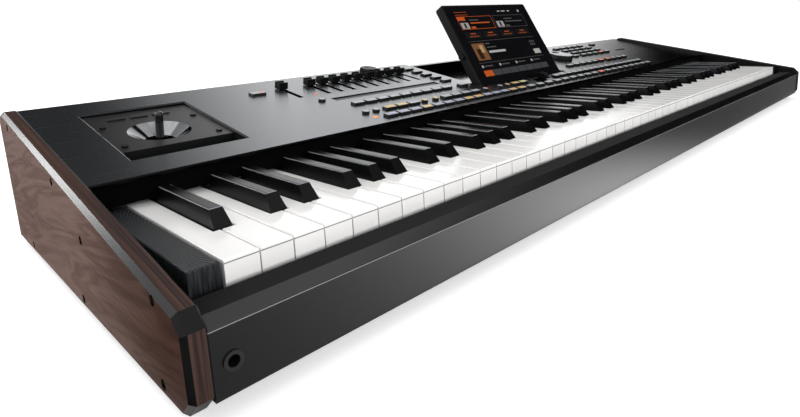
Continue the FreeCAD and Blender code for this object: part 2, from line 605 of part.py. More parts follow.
CAP = ("dims.cap_wide", "dims.cap_deep")
front_rows = [
    cap_row("front_left_caps", "dims.front_left_first", "dims.front_row_line", *CAP,
            count="dims.front_left_count"),
    cap_row("front_right_caps", "dims.front_right_first", "dims.front_row_line", *CAP,
            pitch="dims.front_right_pitch", count="dims.front_right_count"),
]
MIDDLE_GROUPS = ("middle_left", "middle_next", "middle_centre", "middle_right")
middle_rows = [cap_row(f"{part}_caps", f"dims.{part}_first", "dims.middle_row_line", *CAP,
                       count=f"dims.{part}_count") for part in MIDDLE_GROUPS]
strip_rows = [
    cap_row("strip_row_caps", "dims.strip_row_first", "dims.strip_row_line", *CAP,
            count="dims.strip_row_count"),
    cap_row("strip_side_cap", "dims.strip_side_place", "dims.strip_row_line", *CAP),
    cap_row("column_caps", "dims.column_place", "dims.column_first", *CAP, count="dims.column_count",
            axis="Y_Axis"),
]
right_rows = [cap_row(f"{part}_caps", f"dims.{part}_first", "dims.menu_row_line", *CAP,
                      pitch="dims.menu_pitch", count=f"dims.{part}_count")
              for part in ("menu_left", "menu_right")]
for line in range(SIZES["block_rows"]):
    right_rows.append(cap_row(f"block_row_{line}", "dims.block_first",
                              f"dims.block_line + {line} * dims.block_row_pitch",
                              *CAP, pitch="dims.block_pitch", count="dims.block_columns"))
BLOCK_TOP_LINE = "dims.block_line + (dims.block_rows - 1) * dims.block_row_pitch"
right_rows += [cap_row("dial_side_cap", "dims.dial_side_place", "dims.block_line", *CAP),
               cap_row("block_side_cap", "dims.block_side_place", BLOCK_TOP_LINE, *CAP)]
power = cap_row("power_button", "dims.power_place", "dims.power_line", "dims.power_wide", "dims.power_deep")

ROUND_SPOTS = [("dims.round_1", "dims.round_1_line")]
ROUND_SPOTS += [(f"dims.round_{i}", "dims.middle_row_line") for i in range(2, 9)]
rounds = new_body("round_buttons")
pad(rounds, circle_outline(rounds, "round_outline", ROUND_SPOTS, "dims.round_radius",
                           lift="-dims.cap_depth_below"), "dims.cap_depth_below + dims.cap_rise")
round_edges(rounds, "round_edges", "dims.cap_edge_radius", on_top)
round_holes("round_button_holes", ROUND_SPOTS, "dims.round_radius + dims.cap_clearance")

for body in [power, rounds]:
    body.setExpression("Placement", panel_spot())
    node(body)
for name, rows in {"front_row_buttons": front_rows, "middle_row_buttons": middle_rows,
                   "strip_buttons": strip_rows, "right_block_buttons": right_rows}.items():
    node(group(name, rows)).setExpression("Placement", panel_spot())


# Sliders: a saddle-shaped cap on a flat stem that runs in a slot
def slider(name, across, along, lengthwise=True):
    """Slider cap and stem round its own origin, placed on the panel."""
    cap_size = ("dims.slider_cap_wide", "dims.slider_cap_deep")
    stem_size = ("dims.slider_stem_wide", "dims.slider_stem_deep")
    if not lengthwise:
        cap_size = cap_size[::-1]
        stem_size = stem_size[::-1]
    block = box(f"{name}_block", (f"-{cap_size[0]} / 2", f"-{cap_size[1]} / 2", "dims.slider_cap_lift"),
                (*cap_size, "dims.slider_cap_high"))
    groove_base = ["0", "0", "dims.slider_cap_lift + dims.slider_cap_high + dims.slider_groove_radius"
                   " - dims.slider_groove_drop"]
    groove_base[0 if lengthwise else 1] = "-dims.slider_cap_wide"
    groove = cylinder(f"{name}_groove", groove_base, "dims.slider_groove_radius", "2 * dims.slider_cap_wide",
                      axis="x" if lengthwise else "y")
    stem = box(f"{name}_stem", (f"-{stem_size[0]} / 2", f"-{stem_size[1]} / 2", "-dims.slider_stem_below"),
               (*stem_size, "dims.slider_stem_below + dims.slider_cap_lift"))
    piece = fuse(name, [cut(f"{name}_cap", block, [groove]), stem])
    piece.setExpression("Placement", panel_spot(across, along))
    return node(piece)


SLOT_REACH = "(dims.slider_stem_deep / 2 + dims.slider_end_gap)"
SLOT_LENGTH = f"dims.slider_travel + 2 * {SLOT_REACH}"
SLOT_LOW = f"dims.slider_line - dims.slider_travel - {SLOT_REACH}"
panel_hole("slider_slots", "dims.slider_first - dims.slider_slot / 2", SLOT_LOW, "dims.slider_slot",
           SLOT_LENGTH, "dims.slider_pitch", "dims.slider_count")
panel_hole("master_slot", "dims.master_place - dims.slider_slot / 2", SLOT_LOW, "dims.slider_slot",
           SLOT_LENGTH)
panel_hole("balance_slot", f"dims.balance_place - dims.balance_travel - {SLOT_REACH}",
           "dims.balance_line - dims.slider_slot / 2", f"2 * dims.balance_travel + 2 * {SLOT_REACH}",
           "dims.slider_slot")
slider("master_slider", "dims.master_place", "dims.slider_line")
for number in range(SIZES["slider_count"]):
    slider(f"slider_{number + 1}", f"dims.slider_first + {number} * dims.slider_pitch", "dims.slider_line")
slider("balance_slider", "dims.balance_place", "dims.balance_line", lengthwise=False)


# Value dial with a finger dimple, and a small level knob with a pointer notch
def turning_knob(name, across, along, radius, high, notch):
    """Round cap on a shaft that passes through the panel."""
    round_holes(f"{name}_hole", [(across, along)], "dims.shaft_radius + dims.shaft_clearance")
    cap = cylinder(f"{name}_cap", ("0", "0", "dims.turn_lift"), radius, f"{high} - dims.turn_bevel")
    crown = doc.addObject("Part::Cone", f"{name}_crown")
    bind(crown, Radius1=radius, Radius2=f"{radius} - dims.turn_bevel", Height="dims.turn_bevel")
    set_place(crown, ("0", "0", f"dims.turn_lift + {high} - dims.turn_bevel"))
    shaft = cylinder(f"{name}_shaft", ("0", "0", "-dims.cap_depth_below"), "dims.shaft_radius",
                     "dims.cap_depth_below + dims.turn_lift")
    piece = cut(name, fuse(f"{name}_turned", [cap, crown, shaft]), [notch])
    piece.setExpression("Placement", panel_spot(across, along))
    return node(piece)


dimple = cylinder("dial_dimple", ("0", "dims.dial_dimple_offset",
                                  "dims.turn_lift + dims.dial_high - dims.dial_dimple_depth"),
                  "dims.dial_dimple_radius", "2 * dims.dial_dimple_depth")
turning_knob("value_dial", "dims.dial_place", "dims.dial_line", "dims.dial_radius", "dims.dial_high", dimple)
pointer = box("knob_pointer", ("-dims.slider_stem_wide / 2", "0", "dims.turn_lift + dims.knob_high / 2"),
              ("dims.slider_stem_wide", "2 * dims.knob_radius", "dims.knob_high"))
turning_knob("level_knob", "dims.knob_place", "dims.knob_line", "dims.knob_radius", "dims.knob_high", pointer)

# Strip display: a dark window set into the panel
panel_hole("strip_hole", "dims.strip_left", "dims.strip_line - dims.strip_deep / 2", "dims.strip_wide",
           "dims.strip_deep")
strip = new_body("strip_window")
pad(strip, rectangle(strip, "strip_outline", "dims.strip_left", "dims.strip_line - dims.strip_deep / 2",
                     "dims.strip_wide", "dims.strip_deep", lift=PLATE_TOP),
    "dims.panel_thickness - dims.strip_sink")
strip.setExpression("Placement", panel_spot())
node(strip)

# Shallow port recess beside the right block
panel_tools.append(box("port_recess", ("dims.port_place - dims.port_wide / 2",
                                       "dims.port_line - dims.port_deep / 2", "-dims.port_sink"),
                       ("dims.port_wide", "dims.port_deep", "dims.port_sink + dims.cut_margin")))

# Joystick plate under its opening, with a finger trough along its front
panel_hole("joystick_hole", JOYSTICK_LEFT, "dims.joystick_front", "dims.joystick_wide",
           "dims.joystick_deep")
bevel_tool = new_body("joystick_bevel")
RIMS = [("0", "-dims.joystick_bevel"), ("(dims.joystick_bevel + dims.cut_margin)", "dims.cut_margin")]
bevel_rims = [rectangle(bevel_tool, f"bevel_rim_{i}", f"{JOYSTICK_LEFT} - {grow}",
                        f"dims.joystick_front - {grow}", f"dims.joystick_wide + 2 * {grow}",
                        f"dims.joystick_deep + 2 * {grow}", lift=lift)
              for i, (grow, lift) in enumerate(RIMS)]
bevel_loft = bevel_tool.newObject("PartDesign::AdditiveLoft", "bevel_loft")
bevel_loft.Profile = bevel_rims[0]
bevel_loft.Sections = [bevel_rims[1]]
bevel_loft.Ruled = True
panel_tools.append(bevel_tool)
LAP_LEFT = f"{JOYSTICK_LEFT} - dims.joystick_lap"
LAP_FRONT = "dims.joystick_front - dims.joystick_lap"
LAP_WIDE = "(dims.joystick_wide + 2 * dims.joystick_lap)"
PLATE_UNDER = "(-dims.panel_thickness - dims.plate_thickness)"
TROUGH_BOTTOM = "(-dims.panel_thickness - dims.trough_drop)"
plate_sheet = box("plate_sheet", (LAP_LEFT, LAP_FRONT, PLATE_UNDER),
                  (LAP_WIDE, "dims.joystick_deep + 2 * dims.joystick_lap", "dims.plate_thickness"))
trough_pan = box("trough_pan", (f"{JOYSTICK_LEFT} - dims.trough_wall",
                                "dims.joystick_front - dims.trough_wall",
                                f"{TROUGH_BOTTOM} - dims.trough_wall"),
                 ("dims.joystick_wide + 2 * dims.trough_wall", "dims.trough_deep + 2 * dims.trough_wall",
                  "dims.trough_drop"))
trough_space = box("trough_space", (JOYSTICK_LEFT, "dims.joystick_front", TROUGH_BOTTOM),
                   ("dims.joystick_wide", "dims.trough_deep", "dims.trough_drop + dims.plate_thickness"))
bowl_hole = cylinder("bowl_hole", (STICK_PLACE, "dims.stick_line", f"{PLATE_UNDER} - dims.cut_margin"),
                     "dims.bowl_radius + dims.bowl_clearance", "dims.plate_thickness + 2 * dims.cut_margin")
switch_holes = [box(f"switch_hole_{i}",
                    (f"{SWITCH_FIRST} + {i} * dims.switch_pitch - dims.switch_wide / 2 - dims.cap_clearance",
                     "dims.switch_line - dims.switch_deep / 2 - dims.cap_clearance",
                     f"{PLATE_UNDER} - dims.cut_margin"),
                    ("dims.switch_wide + 2 * dims.cap_clearance", "dims.switch_deep + 2 * dims.cap_clearance",
                     "dims.plate_thickness + 2 * dims.cut_margin")) for i in range(3)]
plate = cut("joystick_plate", fuse("plate_with_pan", [plate_sheet, trough_pan]),
            [trough_space, bowl_hole] + switch_holes)
plate.setExpression("Placement", panel_spot())
node(plate)

switches = [box(f"switch_{i}", (f"{SWITCH_FIRST} + {i} * dims.switch_pitch - dims.switch_wide / 2",
                                "dims.switch_line - dims.switch_deep / 2",
                                f"{PLATE_TOP} - dims.switch_below"),
                ("dims.switch_wide", "dims.switch_deep", "dims.switch_below + dims.switch_rise"))
            for i in range(3)]
node(group("joystick_switches", switches)).setExpression("Placement", panel_spot())

# Joystick bowl: a turned dish with a flange under the plate
bowl = new_body("joystick_bowl")
BOWL_LOW = f"({PLATE_TOP} - dims.bowl_drop)"
BOWL_PROFILE = [
    ("dims.bowl_radius", PLATE_TOP),
    ("dims.bowl_radius", PLATE_UNDER),
    ("dims.bowl_radius + dims.bowl_flange", PLATE_UNDER),
    ("dims.bowl_radius + dims.bowl_flange", f"{PLATE_UNDER} - dims.bowl_wall"),
    ("dims.bowl_radius - dims.bowl_wall", f"{PLATE_UNDER} - dims.bowl_wall"),
    ("dims.bowl_hole_radius", f"{BOWL_LOW} - dims.bowl_wall"),
    ("dims.bowl_hole_radius", BOWL_LOW),
]
dish = bowl.newObject("PartDesign::Revolution", "bowl_turn")
dish.Profile = polygon(bowl, "bowl_profile", BOWL_PROFILE, role="XZ_Plane")
dish.ReferenceAxis = (origin_part(bowl, "Z_Axis"), [""])
dish.Angle = 360
bowl.setExpression("Placement", panel_spot(STICK_PLACE, "dims.stick_line"))
node(bowl)

# Joystick bracket, gimbal ring and stick, round the point where the stick tips
STICK_FRAME = panel_spot(STICK_PLACE, "dims.stick_line", "-dims.pivot_drop")
RISE_TO_PLATE = f"(dims.pivot_drop + {PLATE_UNDER})"
EAR_INNER = "(dims.gimbal_half + dims.ear_gap)"
bracket_parts = [box("bracket_base", ("-dims.bracket_half", "-dims.bracket_half", "-dims.bracket_drop"),
                     ("2 * dims.bracket_half", "2 * dims.bracket_half", "dims.bracket_thickness"))]
for i, start in enumerate((EAR_INNER, f"-{EAR_INNER} - dims.ear_thickness")):
    bracket_parts.append(box(f"ear_{i}", (start, "-dims.ear_half", "-dims.bracket_drop"),
                             ("dims.ear_thickness", "2 * dims.ear_half",
                              "dims.bracket_drop + dims.ear_high")))
for i, (x_sign, y_sign) in enumerate(((1, 1), (1, -1), (-1, 1), (-1, -1))):
    bracket_parts.append(cylinder(
        f"bracket_post_{i}",
        (f"{x_sign} * dims.post_offset", f"{y_sign} * dims.post_offset", "-dims.bracket_drop"),
        "dims.post_radius", f"dims.bracket_drop + {RISE_TO_PLATE}"))
pin_hole = cylinder("gimbal_pin_hole", ("-2 * dims.gimbal_half", "0", "0"),
                    "dims.gimbal_pin_radius + dims.pin_clearance", "4 * dims.gimbal_half", axis="x")
bracket = cut("joystick_bracket", fuse("bracket_parts", bracket_parts), [pin_hole])

ring = box("ring_outside", ("-dims.gimbal_half", "-dims.gimbal_half", "-dims.gimbal_high / 2"),
           ("2 * dims.gimbal_half", "2 * dims.gimbal_half", "dims.gimbal_high"))
RING_INNER = "(dims.gimbal_half - dims.gimbal_bar)"
ring_space = box("ring_space", (f"-{RING_INNER}", f"-{RING_INNER}", "-dims.gimbal_high"),
                 (f"2 * {RING_INNER}", f"2 * {RING_INNER}", "2 * dims.gimbal_high"))
stick_pin_hole = cylinder("stick_pin_hole", ("0", "-2 * dims.gimbal_half", "0"),
                          "dims.stick_pin_radius + dims.pin_clearance", "4 * dims.gimbal_half", axis="y")
ring_pins = [cylinder(f"ring_pin_{i}", (start, "0", "0"), "dims.gimbal_pin_radius",
                      "dims.gimbal_pin_length", axis="x")
             for i, start in enumerate(("dims.gimbal_half", "-dims.gimbal_half - dims.gimbal_pin_length"))]
gimbal = fuse("joystick_gimbal", [cut("ring_frame", ring, [ring_space, stick_pin_hole])] + ring_pins)

dome = doc.addObject("Part::Sphere", "stick_dome")
bind(dome, Radius="dims.dome_radius")
shaft = cylinder("stick_shaft", ("0", "0", "0"), "dims.stick_radius",
                 "dims.pivot_drop + dims.stick_rise - dims.stick_tip_radius")
PIN_REACH = "(dims.gimbal_half - dims.stick_pin_end_gap)"
cross_pin = cylinder("stick_cross_pin", ("0", f"-{PIN_REACH}", "0"), "dims.stick_pin_radius",
                     f"2 * {PIN_REACH}", axis="y")
tip = doc.addObject("Part::Sphere", "stick_tip")
bind(tip, Radius="dims.stick_tip_radius")
set_place(tip, ("0", "0", "dims.pivot_drop + dims.stick_rise - dims.stick_tip_radius"))
stick = fuse("joystick_stick", [dome, shaft, tip, cross_pin])
for piece in (bracket, gimbal, stick):
    piece.setExpression("Placement", STICK_FRAME)
    node(piece)

# Display tray let into the panel, open at the top and lipped at the rear
TRAY_LEFT = f"dims.display_centre - {TRAY_HALF}"
panel_hole("display_hole", TRAY_LEFT, "dims.tray_front", f"2 * {TRAY_HALF}",
           f"{PANEL_LENGTH} - dims.tray_front")
TRAY_BOTTOM = "(-dims.tray_depth)"
TRAY_REAR = f"({PANEL_LENGTH} - dims.tray_rear_gap)"
tray_parts = [
    box("tray_outside", (f"{TRAY_LEFT} - dims.tray_wall", "dims.tray_front - dims.tray_wall",
                         f"{TRAY_BOTTOM} - dims.tray_wall"),
        (f"2 * {TRAY_HALF} + 2 * dims.tray_wall", f"{TRAY_REAR} - dims.tray_front + 2 * dims.tray_wall",
         "dims.tray_depth + dims.tray_wall - dims.panel_thickness")),
    box("tray_lip", (TRAY_LEFT, TRAY_REAR, f"{PLATE_TOP} - dims.tray_lip"),
        (f"2 * {TRAY_HALF}", f"{PANEL_LENGTH} - {TRAY_REAR}", "dims.tray_lip")),
]
tray_space = box("tray_space", (TRAY_LEFT, "dims.tray_front", TRAY_BOTTOM),
                 (f"2 * {TRAY_HALF}", f"{TRAY_REAR} - dims.tray_front", "2 * dims.tray_depth"))
tray = cut("display_tray", fuse("tray_parts", tray_parts), [tray_space])
tray.setExpression("Placement", panel_spot())
node(tray)

panel = cut("top_panel", sheet_body, panel_tools)
panel.setExpression("Placement", panel_spot())
node(panel)

# Hinge brackets that stand in the tray, each with a pin that reaches into the display
hinges = []
BRACKET_THICK = "(dims.hinge_side_gap - dims.hinge_running_gap)"
HINGE_EDGE = "(dims.display_wide / 2)"
for i, (start, pin_start) in enumerate((
        (f"{HINGE_EDGE} + dims.hinge_running_gap", f"{HINGE_EDGE} - dims.hinge_pin_length"),
        (f"-{HINGE_EDGE} - dims.hinge_side_gap", f"-{HINGE_EDGE} - dims.hinge_running_gap"))):
    leaf = box(f"hinge_leaf_{i}", (start, "-dims.hinge_half", "dims.hinge_sink - dims.tray_depth"),
               (BRACKET_THICK, "2 * dims.hinge_half", "dims.tray_depth - dims.hinge_sink + dims.hinge_half"))
    pin = cylinder(f"hinge_pin_{i}", (pin_start, "0", "0"), "dims.hinge_pin_radius",
                   "dims.hinge_pin_length + dims.hinge_running_gap", axis="x")
    hinges.append(fuse(f"hinge_{i}", [leaf, pin]))
node(group("hinge_brackets", hinges)).setExpression(
    "Placement", panel_spot("dims.display_centre", "dims.hinge_line", "-dims.hinge_sink"))

# Display: moulded shell with a let-in glass, raised on its hinge
shell_block = new_body("shell_block")
pad(shell_block, rectangle(shell_block, "shell_outline", "-dims.display_wide / 2", "-dims.hinge_edge",
                           "dims.display_wide", "dims.display_high", lift="-dims.display_thick / 2"),
    "dims.display_thick")
round_edges(shell_block, "shell_corners", "dims.display_corner",
            lambda edge, limits: edge.XLength < TOUCH and edge.YLength < TOUCH)
round_edges(shell_block, "shell_edges", "dims.display_edge_radius", lambda edge, limits: edge.ZLength < TOUCH)
glass_bed = rectangle(shell_block, "glass_bed", "-dims.display_wide / 2 + dims.glass_inset",
                      "-dims.hinge_edge + dims.glass_inset", "dims.display_wide - 2 * dims.glass_inset",
                      "dims.display_high - 2 * dims.glass_inset", lift="dims.display_thick / 2")
pocket(shell_block, glass_bed, "dims.glass_thick")
shell_pin_hole = cylinder("shell_pin_hole", ("-dims.display_wide", "0", "0"),
                          "dims.hinge_pin_radius + dims.pin_clearance", "2 * dims.display_wide", axis="x")
CORE_HALF = f"({HINGE_EDGE} - dims.hinge_pin_length - dims.cut_margin)"
shell_core = box("shell_core", (f"-{CORE_HALF}", "-dims.hinge_edge", "-dims.display_thick / 2"),
                 (f"2 * {CORE_HALF}", "2 * dims.hinge_edge",
                  "dims.display_thick - dims.glass_thick"))
lugs = [cylinder(f"lug_{i}", (start, "dims.lug_line", "0"), "dims.lug_radius", "dims.lug_length", axis="x")
        for i, start in enumerate((HINGE_EDGE, f"-{HINGE_EDGE} - dims.lug_length"))]
pin_bores = cut("pin_bores", shell_pin_hole, [shell_core])
shell = fuse("display_shell", [cut("bored_shell", shell_block, [pin_bores])] + lugs)
shell.setExpression("Placement", display_spot())
node(shell)

glass = new_body("display_glass")
INSET = "dims.glass_inset + dims.glass_clearance"
pad(glass, rectangle(glass, "glass_outline", f"-dims.display_wide / 2 + {INSET}",
                     f"-dims.hinge_edge + {INSET}", f"dims.display_wide - 2 * ({INSET})",
                     f"dims.display_high - 2 * ({INSET})",
                     lift="dims.display_thick / 2 - dims.glass_thick"), "dims.glass_thick")
glass.setExpression("Placement", display_spot())
node(glass)

# Panel boards under the buttons, hung from the panel on short posts
BOARD_PARTS = {
    "front": ("dims.board_left", "dims.board_front", "dims.board_right", "dims.board_split"),
    "left": ("dims.board_left", "dims.board_split + dims.board_gap",
             f"{TRAY_LEFT} - dims.tray_wall - dims.board_gap", "dims.board_back"),
    "right": (f"dims.display_centre + {TRAY_HALF} + dims.tray_wall + dims.board_gap",
              "dims.board_split + dims.board_gap", "dims.board_right", "dims.board_back"),
}
boards = []
for name, (left, low, right, high) in BOARD_PARTS.items():
    sheet_of_board = box(f"{name}_board", (left, low, "-dims.board_drop - dims.board_thickness"),
                         (f"({right}) - ({left})", f"({high}) - ({low})", "dims.board_thickness"))
    post_spots = (f"{left} + dims.board_post_radius", f"{right} - dims.board_post_radius")
    posts = [cylinder(f"{name}_post_{i}", (across, f"{low} + dims.board_post_radius", "-dims.board_drop"),
                      "dims.board_post_radius", "dims.board_drop - dims.panel_thickness")
             for i, across in enumerate(post_spots)]
    boards.append(fuse(f"{name}_board_on_posts", [sheet_of_board] + posts))
node(group("panel_board", boards)).setExpression("Placement", panel_spot())

# Main board on posts and the power supply, both on the floor plate
MAIN_RIGHT = "dims.main_board_left + dims.main_board_wide - dims.main_board_post_inset"
MAIN_FRONT = f"({BACK_INSIDE} - dims.main_board_rear_gap - dims.main_board_deep)"
MAIN_REAR = f"{MAIN_FRONT} + dims.main_board_deep - dims.main_board_post_inset"
main_parts = [box("main_sheet", ("dims.main_board_left", MAIN_FRONT,
                                 f"{FLOOR_TOP} + dims.main_board_lift"),
                  ("dims.main_board_wide", "dims.main_board_deep", "dims.board_thickness"))]
for i, across in enumerate(("dims.main_board_left + dims.main_board_post_inset", MAIN_RIGHT)):
    for j, along in enumerate((f"{MAIN_FRONT} + dims.main_board_post_inset", MAIN_REAR)):
        main_parts.append(cylinder(f"main_post_{i}_{j}", (across, along, FLOOR_TOP),
                                   "dims.main_board_post_radius", "dims.main_board_lift"))
node(fuse("main_board", main_parts))
node(box("power_supply", ("dims.supply_left",
                          f"{BACK_INSIDE} - dims.supply_rear_gap - dims.supply_deep", FLOOR_TOP),
         ("dims.supply_wide", "dims.supply_deep", "dims.supply_high")))


# Sockets: jacks on the rear panel and on the front rail, data sockets and the power inlet
def jack(name, across, face, height, side):
    """Jack sleeve behind a face at y, with a thin ring on the face and a blind bore."""
    way = JACK_SIDE[side]
    length = "dims.jack_length"
    sleeve_start = f"{face} - {length}" if way > 0 else face
    ring_start = face if way > 0 else f"{face} - dims.jack_ring_length"
    bore_start = f"{face} - dims.jack_bore_length" if way > 0 else f"{face} - dims.jack_ring_length"
    sleeve = cylinder(f"{name}_sleeve", (across, sleeve_start, height), "dims.jack_radius", length, axis="y")
    rim = cylinder(f"{name}_rim", (across, ring_start, height), "dims.jack_ring_radius",
                   "dims.jack_ring_length", axis="y")
    bore = cylinder(f"{name}_bore", (across, bore_start, height), "dims.jack_bore_radius",
                    "dims.jack_bore_length + dims.jack_ring_length", axis="y")
    return cut(name, fuse(f"{name}_turned", [sleeve, rim]), [bore])


jacks = [jack("headphone_jack", HEADPHONE_PLACE, RAIL_FRONT, "dims.headphone_height", "front")]
rear_holes = []
HOLE_START = f"{BACK_INSIDE} - dims.cut_margin"
HOLE_LENGTH = "dims.rear_panel_thickness + 2 * dims.cut_margin"
for i in range(SIZES["jack_count"]):
    across = f"dims.jack_first + {i} * dims.jack_pitch"
    jacks.append(jack(f"rear_jack_{i}", across, PANEL_REAR, "dims.jack_height", "rear"))
    rear_holes.append(cylinder(f"jack_hole_{i}", (across, HOLE_START, "dims.jack_height"),
                               "dims.jack_radius + dims.jack_hole_gap", HOLE_LENGTH, axis="y"))
node(group("audio_jacks", jacks))

data_sockets = []
for i in range(SIZES["din_count"]):
    across = f"dims.din_first + {i} * dims.din_pitch"
    can = cylinder(f"din_can_{i}", (across, f"{PANEL_REAR} - dims.din_length", "dims.jack_height"),
                   "dims.din_radius", "dims.din_length", axis="y")
    mouth = cylinder(f"din_mouth_{i}", (across, f"{PANEL_REAR} - dims.din_recess", "dims.jack_height"),
                     "dims.din_recess_radius", "dims.din_recess", axis="y")
    data_sockets.append(cut(f"din_{i}", can, [mouth]))
    rear_holes.append(cylinder(f"din_hole_{i}", (across, HOLE_START, "dims.jack_height"),
                               "dims.din_radius + dims.jack_hole_gap", HOLE_LENGTH, axis="y"))


def rear_block(name, across, wide, high, length, start=BACK_INSIDE, gap="0"):
    """Block centred on the socket line, from start back to the outside of the rear panel."""
    return box(name, (f"{across} - {wide} / 2 - {gap}", start, f"dims.jack_height - {high} / 2 - {gap}"),
               (f"{wide} + 2 * {gap}", length, f"{high} + 2 * {gap}"))


def rear_socket(name, across, wide, high, length, hole_wide, hole_high, hole_deep):
    """Rectangular socket with its mouth in the rear panel, and the panel hole that it stands in."""
    can = rear_block(f"{name}_can", across, wide, high, length, f"{PANEL_REAR} - {length}")
    mouth = rear_block(f"{name}_mouth", across, hole_wide, hole_high, hole_deep,
                       f"{PANEL_REAR} - {hole_deep}")
    rear_holes.append(rear_block(f"{name}_hole", across, wide, high, HOLE_LENGTH, HOLE_START,
                                 "dims.jack_hole_gap"))
    return cut(name, can, [mouth])


for i in range(SIZES["usb_count"]):
    data_sockets.append(rear_socket(f"usb_{i}", f"dims.usb_first + {i} * dims.usb_pitch", "dims.usb_wide",
                                    "dims.usb_high", "dims.usb_length", "dims.usb_slot_wide",
                                    "dims.usb_slot_high", "dims.usb_slot_deep"))
node(group("data_sockets", data_sockets))
node(rear_socket("power_inlet", "dims.inlet_place", "dims.inlet_wide", "dims.inlet_high", "dims.inlet_length",
                 "dims.inlet_hole_wide", "dims.inlet_hole_high", "dims.inlet_hole_deep"))

# Rear panel: steel sheet from the floor plate up to the top panel's underside
REAR_TOP = (f"(dims.panel_front_height + ({BACK_INSIDE} - {PANEL_FRONT}) * tan(dims.panel_slope)"
            " - (dims.panel_thickness + dims.tray_lip) / cos(dims.panel_slope) - dims.fallboard_panel_gap)")
rear_sheet = box("rear_sheet", (f"-{INNER}", BACK_INSIDE, FLOOR_TOP),
                 (f"2 * {INNER}", "dims.rear_panel_thickness", f"{REAR_TOP} - {FLOOR_TOP}"))
node(cut("rear_panel", rear_sheet, rear_holes))

# Black screws: sunk in the wooden ends, and standing on the joystick plate
screws = []
for i, (along, height) in enumerate(SCREW_SPOTS):
    for side, start in (("left", f"-{OUTER} + dims.screw_hole_depth - dims.screw_length"),
                        ("right", f"{OUTER} - dims.screw_hole_depth")):
        screws.append(cylinder(f"{side}_screw_{i}", (start, along, height), "dims.screw_radius",
                               "dims.screw_length", axis="x"))
PLATE_SCREW_X = (f"{JOYSTICK_LEFT} + dims.plate_screw_in_x",
                 f"{JOYSTICK_LEFT} + dims.joystick_wide - dims.plate_screw_in_x")
PLATE_SCREW_Y = ("dims.joystick_front + dims.plate_screw_front",
                 "dims.joystick_front + dims.joystick_deep - dims.plate_screw_rear")
plate_screws = [cylinder(f"plate_screw_{i}_{j}", (across, along, PLATE_TOP), "dims.screw_radius",
                         "dims.screw_length / 2")
                for i, across in enumerate(PLATE_SCREW_X) for j, along in enumerate(PLATE_SCREW_Y)]
on_plate = group("plate_screws", plate_screws)
on_plate.setExpression("Placement", panel_spot())
node(group("case_screws", screws + [on_plate]))

doc.recompute()
failed = [item.Label for item in doc.Objects if "Invalid" in item.State or "Error" in item.State]
failed += [item.Label for item in NODES if item.Shape.isNull() or not item.Shape.isValid()]
if failed:
    raise RuntimeError("Failed objects: " + ", ".join(failed))

os.makedirs("parts", exist_ok=True)
for item in NODES:
    item.Shape.exportStep(os.path.join("parts", f"{item.Label}.step"))
    limits = item.Shape.BoundBox
    print(f"{item.Label}: {len(item.Shape.Solids)} solids, {item.Shape.Volume / 1000:.1f} cm3, "
          f"x {limits.XMin:.1f}..{limits.XMax:.1f} y {limits.YMin:.1f}..{limits.YMax:.1f} "
          f"z {limits.ZMin:.1f}..{limits.ZMax:.1f}")
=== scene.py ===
"""An arranger keyboard: 88 piano keys between walnut ends, under a brushed panel with a tilting display."""

import bpy
import numpy as np
from mathutils import Matrix


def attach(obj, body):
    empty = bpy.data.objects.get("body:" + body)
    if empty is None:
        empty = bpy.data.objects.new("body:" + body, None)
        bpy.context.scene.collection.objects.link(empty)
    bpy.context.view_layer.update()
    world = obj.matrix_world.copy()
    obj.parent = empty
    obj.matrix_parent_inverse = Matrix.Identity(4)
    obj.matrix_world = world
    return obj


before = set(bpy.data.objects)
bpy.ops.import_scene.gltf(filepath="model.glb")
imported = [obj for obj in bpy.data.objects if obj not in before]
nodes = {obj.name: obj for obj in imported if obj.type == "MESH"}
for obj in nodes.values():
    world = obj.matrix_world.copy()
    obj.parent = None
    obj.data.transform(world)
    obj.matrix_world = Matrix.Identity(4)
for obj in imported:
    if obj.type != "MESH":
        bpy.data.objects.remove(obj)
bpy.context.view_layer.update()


# Case pan, back, key bed and joystick bracket: sheet steel, bent and then powder coated black.
# The powder melts into one skin that wraps every edge. To the eye it is an even satin black, with a fine
# orange peel that blurs the highlights.

MM = 0.001


def linear(code):
    """sRGB hex to linear light: c / 12.92 up to 0.04045, and ((c + 0.055) / 1.055) ** 2.4 above it."""
    parts = np.array([int(code[i:i + 2], 16) for i in (1, 3, 5)]) / 255
    bent = np.where(parts <= 0.04045, parts / 12.92, ((parts + 0.055) / 1.055) ** 2.4)
    return (*bent.tolist(), 1.0)


def new_finish(name):
    """An empty material; its nodes are added one by one."""
    material = bpy.data.materials.new(name)
    material.use_nodes = True
    material.node_tree.nodes.clear()
    return material


def add(material, kind, settings):
    """Adds one shader node. A setting is a socket to link, a plain value for a socket, or a property.
    A Mix node's sockets go by number: 0 is the share of the second; 2 and 3 take numbers, 4 and 5 vectors,
    6 and 7 colours; it gives a number from output 0, a vector from 1 and a colour from 2."""
    tree = material.node_tree
    made = tree.nodes.new("ShaderNode" + kind)
    for name, value in settings.items():
        if isinstance(value, bpy.types.NodeSocket):
            tree.links.new(value, made.inputs[name])
        elif isinstance(name, int) or name in made.inputs:
            made.inputs[name].default_value = value
        else:
            setattr(made, name, value)
    return made


def dress(material, *names):
    """Gives CAD nodes a finish through their own material slots."""
    for name in names:
        for held in nodes[name].material_slots:
            held.material = material


